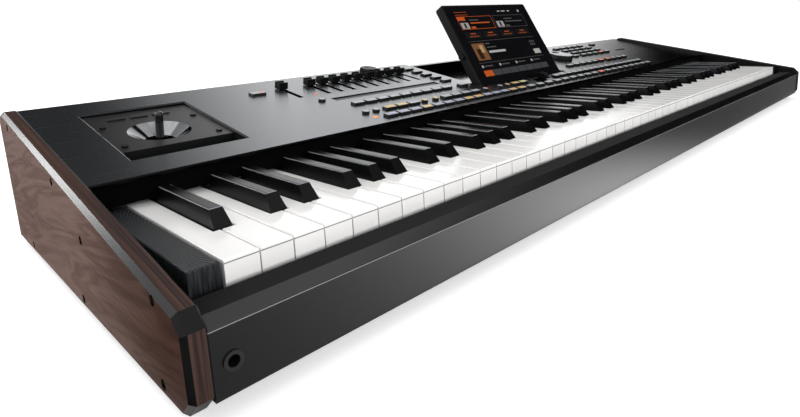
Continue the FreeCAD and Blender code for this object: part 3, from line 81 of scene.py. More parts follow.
PEEL = 1.6 * MM
PEEL_DEPTH = 0.2 * MM
RUBBED_PATCH = 90 * MM
powder_coat = new_finish("black_powder_coated_steel")
place = add(powder_coat, "TexCoord", {}).outputs["Object"]
peel = add(powder_coat, "TexNoise", {"Vector": place, "Scale": 1 / PEEL, "Detail": 2.0}).outputs[0]
rubbed = add(powder_coat, "TexNoise", {"Vector": place, "Scale": 1 / RUBBED_PATCH, "Detail": 4.0}).outputs[0]
tone = add(powder_coat, "Mix", {"data_type": "RGBA", 0: rubbed, 6: linear("#17181a"), 7: linear("#222427")})
dull = add(powder_coat, "MapRange", {"Value": rubbed, "To Min": 0.42, "To Max": 0.56})
skin = add(powder_coat, "Bump", {"Height": peel, "Strength": 0.12, "Distance": PEEL_DEPTH})
coat = add(powder_coat, "BsdfPrincipled", {"Base Color": tone.outputs[2], "Roughness": dull.outputs[0],
                                           "Normal": skin.outputs[0], "IOR": 1.5})
add(powder_coat, "OutputMaterial", {"Surface": coat.outputs[0]})
dress(powder_coat, "bottom_plate", "rear_panel", "key_frame", "joystick_bracket")


# Feet: short rubber cylinders, moulded with a matt skin, pressed up against the pan.
# Rubber picks up dust, so its grey is uneven and nearly without gloss.

def mottled(name, patch, detail, dark, light, surface, gloss=None, bump=0.0, depth=0.0, swirl=0.0):
    """A finish that drifts between two tones over patches of about one size.
    Gloss is the roughness of the dark and of the light patches; an even one stands in surface, with the
    shader's other values. Bump and depth raise the light patches, and swirl bends them."""
    finish = new_finish(name)
    place = add(finish, "TexCoord", {}).outputs["Object"]
    patches = add(finish, "TexNoise", {"Vector": place, "Scale": 1 / patch, "Detail": detail,
                                       "Distortion": swirl}).outputs[0]
    tone = add(finish, "Mix", {"data_type": "RGBA", 0: patches, 6: linear(dark), 7: linear(light)})
    values = {"Base Color": tone.outputs[2], **surface}
    if gloss:
        dull = add(finish, "MapRange", {"Value": patches, "To Min": gloss[0], "To Max": gloss[1]})
        values["Roughness"] = dull.outputs[0]
    if bump:
        skin = add(finish, "Bump", {"Height": patches, "Strength": bump, "Distance": depth})
        values["Normal"] = skin.outputs[0]
    shaded = add(finish, "BsdfPrincipled", values)
    add(finish, "OutputMaterial", {"Surface": shaded.outputs[0]})
    return finish


rubber = mottled("moulded_black_rubber", patch=6 * MM, detail=5.0, dark="#131313", light="#262524",
                 surface={"Roughness": 0.85}, bump=0.2, depth=0.3 * MM)
dress(rubber, "rubber_feet")


# Boards: glass-fibre sheet under black solder mask, carrying copper tracks that lift the mask a little.
# The tracks follow a square raster, so the gloss breaks up into small cells.

TRACK = 4 * MM
TRACK_DEPTH = 0.2 * MM
solder_mask = new_finish("black_solder_mask_board")
place = add(solder_mask, "TexCoord", {}).outputs["Object"]
tracks = add(solder_mask, "TexVoronoi", {"distance": "CHEBYCHEV", "Vector": place,
                                         "Scale": 1 / TRACK}).outputs["Distance"]
tone = add(solder_mask, "Mix", {"data_type": "RGBA", 0: tracks, 6: linear("#0c120f"), 7: linear("#18241d")})
skin = add(solder_mask, "Bump", {"Height": tracks, "Strength": 0.15, "Distance": TRACK_DEPTH})
lacquer = add(solder_mask, "BsdfPrincipled", {"Base Color": tone.outputs[2], "Roughness": 0.4,
                                              "Normal": skin.outputs[0]})
add(solder_mask, "OutputMaterial", {"Surface": lacquer.outputs[0]})
dress(solder_mask, "contact_board", "panel_board", "main_board")


# Power supply can and gimbal ring: zinc-plated steel, folded or turned, left unpainted.
# Zinc plating is silver with faint cloudy patches where the passivation varies.

zinc = mottled("zinc_plated_steel", patch=12 * MM, detail=6.0, dark="#8f9294", light="#b9bcbd",
               surface={"Metallic": 1.0}, gloss=(0.24, 0.42))
dress(zinc, "power_supply", "joystick_gimbal")


# Sockets, and the joystick's plate with its three switches: black nylon, moulded.
# The sockets are pushed through the back and the rail, the plate is screwed down from above.
# Moulded nylon has a soft sheen and shows faint flow marks.

nylon = mottled("moulded_black_nylon", patch=5 * MM, detail=3.0, dark="#0b0b0c", light="#191a1b",
                surface={}, gloss=(0.3, 0.45), swirl=1.5)
dress(nylon, "audio_jacks", "data_sockets", "power_inlet", "joystick_plate", "joystick_switches")


# Wooden ends: walnut slabs, sawn to the case's outline and screwed on, with a wide bevel under black lacquer.
# The flats keep the bare oiled wood, so they show its long figure and fine fibres, and grow darker towards
# the front; the fibres stand upright on the front. The bevels shine black, and so do the inner faces.

PANEL_SLOPE = np.radians(10.3)
FIGURE_SLOPE = -0.15
FIGURE_LONG = 160 * MM
FIGURE_ACROSS = 16 * MM
FIGURE_BANDS = 7.0
FIBRE_LONG = 220 * MM
FIBRE_ACROSS = 1.3 * MM
FIBRE_UPRIGHT = 66 * MM
FIBRE_DEPTH = 0.3 * MM
DARKEST_UP_TO = -175 * MM
LIGHTEST_FROM = -30 * MM


def facing(material):
    """The three parts of the direction in which a face looks, from the face alone."""
    normal = add(material, "NewGeometry", {}).outputs["True Normal"]
    return add(material, "SeparateXYZ", {"Vector": normal}).outputs


walnut = new_finish("oiled_walnut_black_bevel")
place = add(walnut, "TexCoord", {}).outputs["Object"]
where = add(walnut, "SeparateXYZ", {"Vector": place}).outputs
side_x, side_y, side_z = facing(walnut)
laid = add(walnut, "Mapping", {"vector_type": "TEXTURE", "Vector": place,
                               "Rotation": (FIGURE_SLOPE, 0.0, 0.0),
                               "Scale": (FIGURE_ACROSS, FIGURE_LONG, FIGURE_ACROSS)}).outputs[0]
figure = add(walnut, "TexNoise", {"Vector": laid, "Scale": 1.0, "Detail": 3.0, "Roughness": 0.5,
                                  "Distortion": 1.3}).outputs[0]
contours = add(walnut, "Math", {"operation": "MULTIPLY", 0: figure, 1: FIGURE_BANDS}).outputs[0]
bands = add(walnut, "Math", {"operation": "PINGPONG", 0: contours, 1: 1.0}).outputs[0]
endwise = add(walnut, "Math", {"operation": "ABSOLUTE", 0: side_y}).outputs[0]
front_face = add(walnut, "MapRange", {"Value": endwise, "From Min": 0.8, "From Max": 0.9}).outputs[0]
lengthwise = add(walnut, "Mapping", {"vector_type": "TEXTURE", "Vector": place,
                                     "Rotation": (PANEL_SLOPE, 0.0, 0.0),
                                     "Scale": (FIBRE_ACROSS, FIBRE_LONG, FIBRE_ACROSS)}).outputs[0]
upright = add(walnut, "Mapping", {"vector_type": "TEXTURE", "Vector": place,
                                  "Scale": (FIBRE_ACROSS, FIBRE_ACROSS, FIBRE_UPRIGHT)}).outputs[0]
fibre_way = add(walnut, "Mix", {"data_type": "VECTOR", 0: front_face, 4: lengthwise, 5: upright}).outputs[1]
fibres = add(walnut, "TexNoise", {"Vector": fibre_way, "Scale": 1.0, "Detail": 3.0}).outputs[0]
streaks = add(walnut, "MapRange", {"Value": fibres, "From Min": 0.36, "From Max": 0.64}).outputs[0]
toned = {}
for part, pattern, dark, light in (("dark_front_and_handled_controls", bands, "#3b231a", "#50342a"),
                                   ("lighter_rear", bands, "#6f564e", "#866d65"),
                                   ("front_cut", streaks, "#1c1310", "#3f2c25"),
                                   ("top_cut", streaks, "#1a100c", "#452c23")):
    toned[part] = add(walnut, "Mix", {"data_type": "RGBA", 0: pattern, 6: linear(dark),
                                      7: linear(light)}).outputs[2]
# The flats grow darker towards the front, from the rear tone to the front tone.
towards_rear = add(walnut, "MapRange", {"Value": where[1], "From Min": DARKEST_UP_TO,
                                 "From Max": LIGHTEST_FROM}).outputs[0]
broadside = add(walnut, "Mix", {"data_type": "RGBA", 0: towards_rear, 6: toned["dark_front_and_handled_controls"],
                                7: toned["lighter_rear"]}).outputs[2]
sawn_edge = add(walnut, "Mix", {"data_type": "RGBA", 0: front_face, 6: toned["top_cut"],
                                7: toned["front_cut"]}).outputs[2]
tilt = add(walnut, "Math", {"operation": "MULTIPLY", 0: side_x, 1: side_x}).outputs[0]
broad_face = add(walnut, "MapRange", {"Value": tilt, "From Min": 0.7, "From Max": 0.9}).outputs[0]
cut_face = add(walnut, "Mix", {"data_type": "RGBA", 0: broad_face, 6: sawn_edge, 7: broadside}).outputs[2]
fibre_shade = add(walnut, "MapRange", {"Value": fibres, "From Min": 0.3, "From Max": 0.6,
                                       "To Min": 0.86}).outputs[0]
wood = add(walnut, "Mix", {"data_type": "RGBA", 0: fibre_shade, 6: linear("#2b1c17"), 7: cut_face}).outputs[2]
half_turned = add(walnut, "Math", {"operation": "PINGPONG", 0: tilt, 1: 0.5}).outputs[0]
slant = add(walnut, "MapRange", {"Value": half_turned, "From Min": 0.2, "From Max": 0.3}).outputs[0]
lean = add(walnut, "Math", {"operation": "MULTIPLY", 0: side_y, 1: side_z}).outputs[0]
lean_size = add(walnut, "Math", {"operation": "ABSOLUTE", 0: lean}).outputs[0]
facet = add(walnut, "MapRange", {"Value": lean_size, "From Min": 0.3, "From Max": 0.38}).outputs[0]
bevel = add(walnut, "Math", {"operation": "MAXIMUM", 0: slant, 1: facet}).outputs[0]
outward = add(walnut, "Math", {"operation": "MULTIPLY", 0: side_x, 1: where[0]}).outputs[0]
inside = add(walnut, "MapRange", {"Value": outward, "From Min": -0.3, "From Max": -0.2,
                                  "To Min": 1.0, "To Max": 0.0}).outputs[0]
lacquered = add(walnut, "Math", {"operation": "MAXIMUM", 0: bevel, 1: inside}).outputs[0]
tone = add(walnut, "Mix", {"data_type": "RGBA", 0: lacquered, 6: wood, 7: linear("#0c0c0d")})
bare = add(walnut, "MapRange", {"Value": fibres, "To Min": 0.62, "To Max": 0.48}).outputs[0]
dull = add(walnut, "Mix", {"data_type": "FLOAT", 0: lacquered, 2: bare, 3: 0.26})
skin = add(walnut, "Bump", {"Height": fibres, "Strength": 0.12, "Distance": FIBRE_DEPTH})
oiled = add(walnut, "BsdfPrincipled", {"Base Color": tone.outputs[2], "Roughness": dull.outputs[0],
                                       "Normal": skin.outputs[0], "IOR": 1.28})
add(walnut, "OutputMaterial", {"Surface": oiled.outputs[0]})
dress(walnut, "left_wood_end", "right_wood_end")


# Screws through the wooden ends and the joystick plate, and the display's hinge leaves: blackened steel.
# A hot oxide bath leaves a deep blue black that wears unevenly, so the gloss is patchy.

blackened = mottled("black_oxide_steel", patch=2 * MM, detail=4.0, dark="#18191b", light="#2d2f33",
                    surface={"Metallic": 0.8}, gloss=(0.3, 0.5))
dress(blackened, "case_screws", "hinge_brackets")


# Front rail: aluminium section with a slanted band along its top, sprayed in satin charcoal paint.
# The front face mirrors the floor softly and the band is a darker stripe. The flat ledge behind it is matt,
# and a painted highlight, a thin light grey line, runs along the rounded edge between face and band.

FLAKE = 0.9 * MM
FLAKE_DEPTH = 0.2 * MM
SPRAY_DRIFT = 160 * MM
rail_paint = new_finish("satin_charcoal_sprayed_rail")
place = add(rail_paint, "TexCoord", {}).outputs["Object"]
flakes = add(rail_paint, "TexNoise", {"Vector": place, "Scale": 1 / FLAKE, "Detail": 1.0}).outputs[0]
drift = add(rail_paint, "TexNoise", {"Vector": place, "Scale": 1 / SPRAY_DRIFT, "Detail": 3.0}).outputs[0]
charcoal = add(rail_paint, "Mix", {"data_type": "RGBA", 0: flakes, 6: linear("#0c0c0d"),
                                   7: linear("#151617")}).outputs[2]
upward = facing(rail_paint)[2]
band = add(rail_paint, "MapRange", {"Value": upward, "From Min": 0.75, "From Max": 0.9}).outputs[0]
ledge = add(rail_paint, "MapRange", {"Value": upward, "From Min": 0.97, "From Max": 0.99}).outputs[0]
above_face = add(rail_paint, "MapRange", {"Value": upward, "From Min": 0.1, "From Max": 0.2}).outputs[0]
below_band = add(rail_paint, "MapRange", {"Value": upward, "From Min": 0.6, "From Max": 0.7,
                                          "To Min": 1.0, "To Max": 0.0}).outputs[0]
painted_edge_highlight = add(rail_paint, "Math", {"operation": "MULTIPLY", 0: above_face, 1: below_band}).outputs[0]
banded = add(rail_paint, "Mix", {"data_type": "RGBA", 0: band, 6: charcoal, 7: linear("#050506")}).outputs[2]
# Painted highlight: the rounded edge between face and band is coloured light grey.
tone = add(rail_paint, "Mix", {"data_type": "RGBA", 0: painted_edge_highlight, 6: banded, 7: linear("#76787c")})
satin_face = add(rail_paint, "MapRange", {"Value": drift, "To Min": 0.2, "To Max": 0.26}).outputs[0]
smooth = add(rail_paint, "Mix", {"data_type": "FLOAT", 0: band, 2: satin_face, 3: 0.34}).outputs[0]
dull = add(rail_paint, "Mix", {"data_type": "FLOAT", 0: ledge, 2: smooth, 3: 1.0})
skin = add(rail_paint, "Bump", {"Height": flakes, "Strength": 0.04, "Distance": FLAKE_DEPTH})
satin = add(rail_paint, "BsdfPrincipled", {"Base Color": tone.outputs[2], "Roughness": dull.outputs[0],
                                           "Normal": skin.outputs[0], "IOR": 1.4})
add(rail_paint, "OutputMaterial", {"Surface": satin.outputs[0]})
dress(rail_paint, "front_rail")


# Fallboard: the upright strip behind the keys, covered with black flocked sheet.
# Flock swallows light, so the strip reads as a deep shadow.

flock = mottled("black_flocked_sheet", patch=1.2 * MM, detail=3.0, dark="#010101", light="#040404",
                surface={"Roughness": 0.9, "Specular IOR Level": 0.08}, bump=0.4, depth=0.4 * MM)
dress(flock, "fallboard")


# Key blocks: black-stained ash beside the first and last key, its growth rings standing proud after brushing.
# The rings make long curved lines on top and upright strokes on the front. A ring texture repeats every
# 0.314 units, which its scale brings to the real ring width.

RING = 1.3 * MM
RING_DEPTH = 0.5 * MM
RING_REPEAT = 0.314
RING_MIDDLE = (0.61, 0.02, 0.0)
RING_STRETCH = (1.0, 0.22, 0.0)
STROKE_STRETCH = (1.0, 1.0, 0.06)
ash = new_finish("brushed_black_ash")
place = add(ash, "TexCoord", {}).outputs["Object"]
flat_sawn = add(ash, "Mapping", {"Vector": place, "Location": RING_MIDDLE, "Scale": RING_STRETCH}).outputs[0]
upright = add(ash, "Mapping", {"Vector": place, "Scale": STROKE_STRETCH}).outputs[0]
top_face = add(ash, "MapRange", {"Value": facing(ash)[2], "From Min": 0.5, "From Max": 0.8}).outputs[0]
curves = add(ash, "TexWave", {"wave_type": "RINGS", "rings_direction": "Z", "Vector": flat_sawn,
                              "Scale": RING_REPEAT / RING, "Distortion": 1.2, "Detail": 2.0,
                              "Detail Scale": 40.0}).outputs["Fac"]
strokes = add(ash, "TexNoise", {"Vector": upright, "Scale": 1 / (0.8 * RING), "Detail": 2.0}).outputs[0]
rough_sawn = add(ash, "MapRange", {"Value": strokes, "From Min": 0.35, "From Max": 0.65}).outputs[0]
rings = add(ash, "Mix", {"data_type": "FLOAT", 0: top_face, 2: rough_sawn, 3: curves}).outputs[0]
tone = add(ash, "Mix", {"data_type": "RGBA", 0: rings, 6: linear("#0d0e0f"), 7: linear("#2b2d30")})
dull = add(ash, "MapRange", {"Value": rings, "To Min": 0.6, "To Max": 0.4})
skin = add(ash, "Bump", {"Height": rings, "Strength": 0.35, "Distance": RING_DEPTH})
stain = add(ash, "BsdfPrincipled", {"Base Color": tone.outputs[2], "Roughness": dull.outputs[0],
                                    "Normal": skin.outputs[0], "IOR": 1.4})
add(ash, "OutputMaterial", {"Surface": stain.outputs[0]})
dress(ash, "key_end_blocks")


# White keys: moulded in white acrylic and polished, each tipping on the ridge of the key bed.
# The top overhangs the front by a hair, and the thin shadow line under it is painted on. No two keys have
# quite the same white, and fingers leave the polish a little uneven.

KEY_PITCH = 23.5 * MM
LIP_HEIGHT = 65.2 * MM
LIP_SHADOW_WIDTH = 0.5 * MM
SMEAR = 20 * MM
acrylic = new_finish("polished_white_acrylic")
place = add(acrylic, "TexCoord", {}).outputs["Object"]
where = add(acrylic, "SeparateXYZ", {"Vector": place}).outputs
key_place = add(acrylic, "Math", {"operation": "SNAP", 0: where[0], 1: KEY_PITCH}).outputs[0]
batch = add(acrylic, "TexWhiteNoise", {"noise_dimensions": "1D", "W": key_place}).outputs[0]
smear = add(acrylic, "TexNoise", {"Vector": place, "Scale": 1 / SMEAR, "Detail": 4.0}).outputs[0]
white = add(acrylic, "Mix", {"data_type": "RGBA", 0: batch, 6: linear("#ecebe9"), 7: linear("#f1f0ee")})
# Painted shadow: a thin dark grey line across the front of each key, just under the top.
from_lip = add(acrylic, "Math", {"operation": "SUBTRACT", 0: where[2], 1: LIP_HEIGHT}).outputs[0]
lip_gap = add(acrylic, "Math", {"operation": "ABSOLUTE", 0: from_lip}).outputs[0]
lip_shadow = add(acrylic, "MapRange", {"Value": lip_gap, "From Min": 0.4 * LIP_SHADOW_WIDTH, "From Max": LIP_SHADOW_WIDTH,
                                 "To Min": 1.0, "To Max": 0.0}).outputs[0]
front = add(acrylic, "MapRange", {"Value": facing(acrylic)[1], "From Min": -0.9, "From Max": -0.8,
                                  "To Min": 1.0, "To Max": 0.0}).outputs[0]
painted_lip_shadow = add(acrylic, "Math", {"operation": "MULTIPLY", 0: lip_shadow, 1: front}).outputs[0]
tone = add(acrylic, "Mix", {"data_type": "RGBA", 0: painted_lip_shadow, 6: white.outputs[2], 7: linear("#6d6c6b")})
dull = add(acrylic, "MapRange", {"Value": smear, "To Min": 0.1, "To Max": 0.22})
gloss = add(acrylic, "BsdfPrincipled", {"Base Color": tone.outputs[2], "Roughness": dull.outputs[0],
                                        "IOR": 1.49})
add(acrylic, "OutputMaterial", {"Surface": gloss.outputs[0]})
dress(acrylic, *[f"keys_{note}" for note in "cdefgab"])


# Sharps: black ABS moulded in a tool with an ebony-like stroke texture, so fingers don't slip.
# The strokes run along the key and give a broken satin gloss; the rounded edges carry a painted highlight.

STROKE_LONG = 30 * MM
STROKE_ACROSS = 1.2 * MM
STROKE_DEPTH = 0.3 * MM
ebony_look = new_finish("stroke_textured_black_abs")
place = add(ebony_look, "TexCoord", {}).outputs["Object"]
drawn = add(ebony_look, "Mapping", {"Vector": place, "Scale": (1 / STROKE_ACROSS, 1 / STROKE_LONG,
                                                               1 / STROKE_ACROSS)}).outputs[0]
strokes = add(ebony_look, "TexNoise", {"Vector": drawn, "Scale": 1.0, "Detail": 3.0}).outputs[0]
body = add(ebony_look, "Mix", {"data_type": "RGBA", 0: strokes, 6: linear("#040405"),
                               7: linear("#0c0d0e")}).outputs[2]
upward = facing(ebony_look)[2]
over_side = add(ebony_look, "MapRange", {"Value": upward, "From Min": 0.64, "From Max": 0.7}).outputs[0]
under_top = add(ebony_look, "MapRange", {"Value": upward, "From Min": 0.93, "From Max": 0.98,
                                         "To Min": 1.0, "To Max": 0.0}).outputs[0]
painted_edge_highlight = add(ebony_look, "Math", {"operation": "MULTIPLY", 0: over_side, 1: under_top}).outputs[0]
# Painted highlight: the rounded top edges are coloured light grey in place of their glint.
tone = add(ebony_look, "Mix", {"data_type": "RGBA", 0: painted_edge_highlight, 6: body, 7: linear("#7f8184")})
dull = add(ebony_look, "MapRange", {"Value": strokes, "To Min": 0.3, "To Max": 0.2})
skin = add(ebony_look, "Bump", {"Height": strokes, "Strength": 0.1, "Distance": STROKE_DEPTH})
moulded = add(ebony_look, "BsdfPrincipled", {"Base Color": tone.outputs[2], "Roughness": dull.outputs[0],
                                             "Normal": skin.outputs[0], "IOR": 1.26})
add(ebony_look, "OutputMaterial", {"Surface": moulded.outputs[0]})
dress(ebony_look, *[f"keys_{note}_sharp" for note in "cdfga"])


# Top panel: aluminium sheet, brushed from end to end, anodised black and screwed down over the controls.
# Brushing pulls every reflection across the lines, which are drawn coarser than real ones, to show.
# The cut-out bevels carry a painted highlight where they face right and painted shade elsewhere, and the
# front edge and underside are black.

BRUSH_LONG = 350 * MM
BRUSH_ACROSS = 1.4 * MM
BRUSH_DEPTH = 0.3 * MM
FRONT_EDGE_TO = -10.5 * MM
PANEL_FROM = -8.5 * MM
PANEL_OUTWARD = (0.0, -np.sin(PANEL_SLOPE), np.cos(PANEL_SLOPE))
brushed = new_finish("brushed_black_anodised_aluminium")
place = add(brushed, "TexCoord", {}).outputs["Object"]
drawn = add(brushed, "Mapping", {"Vector": place, "Scale": (1 / BRUSH_LONG, 1 / BRUSH_ACROSS,
                                                            1 / BRUSH_ACROSS)}).outputs[0]
lines = add(brushed, "TexNoise", {"Vector": drawn, "Scale": 1.0, "Detail": 4.0, "Roughness": 0.7}).outputs[0]
leaf = add(brushed, "Mix", {"data_type": "RGBA", 0: lines, 6: linear("#626568"),
                            7: linear("#6c6e71")}).outputs[2]
normal = add(brushed, "NewGeometry", {}).outputs["True Normal"]
outward = add(brushed, "VectorMath", {"operation": "DOT_PRODUCT", 0: normal,
                                      1: PANEL_OUTWARD}).outputs["Value"]
half_turned = add(brushed, "Math", {"operation": "PINGPONG", 0: outward, 1: 0.5}).outputs[0]
bevel = add(brushed, "MapRange", {"Value": half_turned, "From Min": 0.15, "From Max": 0.25}).outputs[0]
top_side = add(brushed, "MapRange", {"Value": outward, "From Min": 0.3, "From Max": 0.5}).outputs[0]
depth = add(brushed, "SeparateXYZ", {"Vector": place}).outputs[1]
behind_edge = add(brushed, "MapRange", {"Value": depth, "From Min": FRONT_EDGE_TO,
                                        "From Max": PANEL_FROM}).outputs[0]
# Painted highlight and shade: the cut-out bevels are pale where they face right and dark grey elsewhere.
painted_highlight_side = add(brushed, "MapRange", {"Value": facing(brushed)[0], "From Min": 0.3,
                                        "From Max": 0.5}).outputs[0]
bevel_painted_light_and_shade = add(brushed, "Mix", {"data_type": "RGBA", 0: painted_highlight_side, 6: linear("#303133"),
                               7: linear("#c0c3c5")}).outputs[2]
cut_tone = add(brushed, "Mix", {"data_type": "RGBA", 0: behind_edge, 6: linear("#141415"),
                                7: bevel_painted_light_and_shade}).outputs[2]
upper = add(brushed, "Mix", {"data_type": "RGBA", 0: bevel, 6: leaf, 7: cut_tone}).outputs[2]
tone = add(brushed, "Mix", {"data_type": "RGBA", 0: top_side, 6: linear("#101011"), 7: upper})
dull = add(brushed, "MapRange", {"Value": lines, "To Min": 0.285, "To Max": 0.25})
skin = add(brushed, "Bump", {"Height": lines, "Strength": 0.008, "Distance": BRUSH_DEPTH})
across = add(brushed, "Tangent", {"direction_type": "RADIAL", "axis": "X"}).outputs[0]
metal = add(brushed, "BsdfPrincipled", {"Base Color": tone.outputs[2], "Metallic": 1.0,
                                        "Roughness": dull.outputs[0], "Normal": skin.outputs[0],
                                        "Anisotropic": 0.8, "Tangent": across})
add(brushed, "OutputMaterial", {"Surface": metal.outputs[0]})
dress(brushed, "top_panel")


# Joystick and display tray: black ABS out of a polished tool. The stick tips in the gimbal, and the tray is
# let into the panel. The skin is deep and glossy, with a faint haze from wiping.

polished = mottled("polished_black_abs", patch=8 * MM, detail=4.0, dark="#08080a", light="#141416",
                   surface={"IOR": 1.55}, gloss=(0.06, 0.18))
dress(polished, "joystick_stick", "display_tray")


# Joystick bowl: an ABS cup with a dark chromium plating, held under the plate around the stick.
# Chromium mirrors the room, so white and black patches stand in the cup.

chromed = mottled("chromed_abs_bowl", patch=6 * MM, detail=3.0, dark="#5c5e60", light="#747678",
                  surface={"Metallic": 1.0}, gloss=(0.05, 0.14))
dress(chromed, "joystick_bowl")


# Slider caps and level knob: black ABS in a satin tool, each clipped on its lever or spindle.
# Fingers polish them, so the weak gloss changes over each cap.

dark_front_and_handled_controls = mottled("satin_black_abs_controls", patch=4 * MM, detail=3.0, dark="#060607", light="#0f1011",
                  surface={"IOR": 1.16}, gloss=(0.32, 0.46))
dress(dark_front_and_handled_controls, "master_slider", "balance_slider", "level_knob")
dress(dark_front_and_handled_controls, *[f"slider_{number}" for number in range(1, 10)])


# Value dial: a black moulded cap, clipped on a spindle, whose crown was sprayed grey while it was spun.
# The lacquer has a fine metal flake, so the top is pale with a soft shine and the side stays black.

LACQUER_PATCH = 3 * MM
dial_lacquer = new_finish("spun_grey_dial")
place = add(dial_lacquer, "TexCoord", {}).outputs["Object"]
cloud = add(dial_lacquer, "TexNoise", {"Vector": place, "Scale": 1 / LACQUER_PATCH, "Detail": 5.0}).outputs[0]
crown = add(dial_lacquer, "Mix", {"data_type": "RGBA", 0: cloud, 6: linear("#8f9294"),
                                  7: linear("#a8abad")}).outputs[2]
top = add(dial_lacquer, "MapRange", {"Value": facing(dial_lacquer)[2], "From Min": 0.75,
                                     "From Max": 0.9}).outputs[0]
tone = add(dial_lacquer, "Mix", {"data_type": "RGBA", 0: top, 6: linear("#141415"), 7: crown})
dull = add(dial_lacquer, "MapRange", {"Value": cloud, "To Min": 0.28, "To Max": 0.4})
shine = add(dial_lacquer, "BsdfPrincipled", {"Base Color": tone.outputs[2], "Metallic": 0.3,
                                             "Roughness": dull.outputs[0]})
add(dial_lacquer, "OutputMaterial", {"Surface": shine.outputs[0]})
dress(dial_lacquer, "value_dial")


# Panel buttons: caps moulded in smoke-grey silicone, each standing up through the panel.
# Their tops are pale and slightly mottled, and their sides are painted black as shade.

MOTTLE = 5 * MM
smoke = new_finish("smoke_grey_silicone_painted_shade_sides")
place = add(smoke, "TexCoord", {}).outputs["Object"]
mottle = add(smoke, "TexNoise", {"Vector": place, "Scale": 1 / MOTTLE, "Detail": 3.0}).outputs[0]
pale = add(smoke, "Mix", {"data_type": "RGBA", 0: mottle, 6: linear("#8d8f93"),
                          7: linear("#a3a5a9")}).outputs[2]
top = add(smoke, "MapRange", {"Value": facing(smoke)[2], "From Min": 0.88, "From Max": 0.95}).outputs[0]
# Painted shade: the sides of the caps are coloured black.
tone = add(smoke, "Mix", {"data_type": "RGBA", 0: top, 6: linear("#050505"), 7: pale})
dull = add(smoke, "MapRange", {"Value": mottle, "To Min": 0.38, "To Max": 0.5})
moulded = add(smoke, "BsdfPrincipled", {"Base Color": tone.outputs[2], "Roughness": dull.outputs[0]})
add(smoke, "OutputMaterial", {"Surface": moulded.outputs[0]})
dress(smoke, "front_row_buttons", "middle_row_buttons", "strip_buttons", "right_block_buttons")
dress(smoke, "round_buttons", "power_button")


# Button lenses: clear silicone windows, let into the tops of the buttons that are lit from below.
# Each spreads the colour of the lamp under it, so it glows evenly and has a frosted skin.

PANEL_FRONT_Y = -13.5 * MM
PANEL_FRONT_Z = 90.5 * MM


def on_panel(across, up, out):
    """Panel frame to the room: across stays X; up and out turn by the slope about the panel's front edge."""
    return np.stack([across,
                     PANEL_FRONT_Y + up * np.cos(PANEL_SLOPE) - out * np.sin(PANEL_SLOPE),
                     PANEL_FRONT_Z + up * np.sin(PANEL_SLOPE) + out * np.cos(PANEL_SLOPE)], -1)


def new_piece(name, points, faces, material):
    """A mesh with its place in its points, so that its object stays at the origin."""
    mesh = bpy.data.meshes.new(name)
    mesh.from_pydata(points, [], faces)
    mesh.materials.append(material)
    piece = bpy.data.objects.new(name, mesh)
    bpy.context.scene.collection.objects.link(piece)
    return piece


def stacked_pads(name, frame_of, centres, halves, levels, corner, sides, colours, material, body, lifts=0.0):
    """Closed pads, each an outline carried up through levels.
    The outline at angle a is (half width * c, half depth * s), where c and s are cos a and sin a with their
    size raised to the power corner: 1 gives an ellipse, 0 a rectangle. Level k scales the outline by
    levels[k][0] and lays it at height levels[k][1], plus the pad's own lift."""
    centres = np.asarray(centres, float)
    halves = np.broadcast_to(np.asarray(halves, float), centres.shape)
    turn = (np.arange(sides) + 0.5) * 2 * np.pi / sides
    ring = np.stack([np.sign(np.cos(turn)) * np.abs(np.cos(turn)) ** corner,
                     np.sign(np.sin(turn)) * np.abs(np.sin(turn)) ** corner], -1)
    scale, height = np.asarray(levels, float).T
    flat = centres[:, None, None] + scale[None, :, None, None] * ring[None, None] * halves[:, None, None]
    out = np.broadcast_to(height[None, :, None] + np.reshape(lifts, (-1, 1, 1)), flat.shape[:3])
    points = frame_of(flat[..., 0], flat[..., 1], out).reshape(-1, 3)
    pads, steps = len(centres), len(levels)
    base = np.arange(pads * steps * sides).reshape(pads, steps, sides)
    after = np.roll(base, -1, 2)
    walls = np.stack([base[:, :-1], after[:, :-1], after[:, 1:], base[:, 1:]], -1).reshape(-1, 4)
    lids = np.concatenate([base[:, -1], base[:, 0, ::-1]])
    piece = new_piece(name, points.tolist(), walls.tolist() + lids.tolist(), material)
    shades = np.array([linear(code) for code in colours])
    tint = piece.data.color_attributes.new("tint", "FLOAT_COLOR", "POINT")
    tint.data.foreach_set("color", np.repeat(shades, steps * sides, 0).ravel())
    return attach(piece, body)


FROST = 2 * MM
LENS_GLOW = 0.22
lit_lens = new_finish("lit_silicone_lens")
tinted = add(lit_lens, "Attribute", {"attribute_name": "tint"}).outputs["Color"]
place = add(lit_lens, "TexCoord", {}).outputs["Object"]
frost = add(lit_lens, "TexNoise", {"Vector": place, "Scale": 1 / FROST, "Detail": 2.0}).outputs[0]
dull = add(lit_lens, "MapRange", {"Value": frost, "To Min": 0.35, "To Max": 0.5})
glow = add(lit_lens, "BsdfPrincipled", {"Base Color": tinted, "Roughness": dull.outputs[0],
                                        "Emission Color": tinted, "Emission Strength": LENS_GLOW})
add(lit_lens, "OutputMaterial", {"Surface": glow.outputs[0]})

CAP_TOP = 3 * MM
LENS_LEVELS = [(1.0, CAP_TOP - 0.8 * MM), (1.0, CAP_TOP + 0.1 * MM), (0.94, CAP_TOP + 0.25 * MM)]
LENS_SIDES = 16
OBLONG = 0.3
ROUND = 1.0
WIDE_LENS = (6.6, 3.0)
ROUND_LENS = (3.0, 3.0)
POWER_LENS = (2.2, 1.6)
FRONT_ROW = 16.5
MIDDLE_ROW = 38.5
BLOCK_ROW = 75
LAVENDER, AMBER, ORANGE, LIME = "#84869b", "#b8924c", "#d9632c", "#aeb06c"

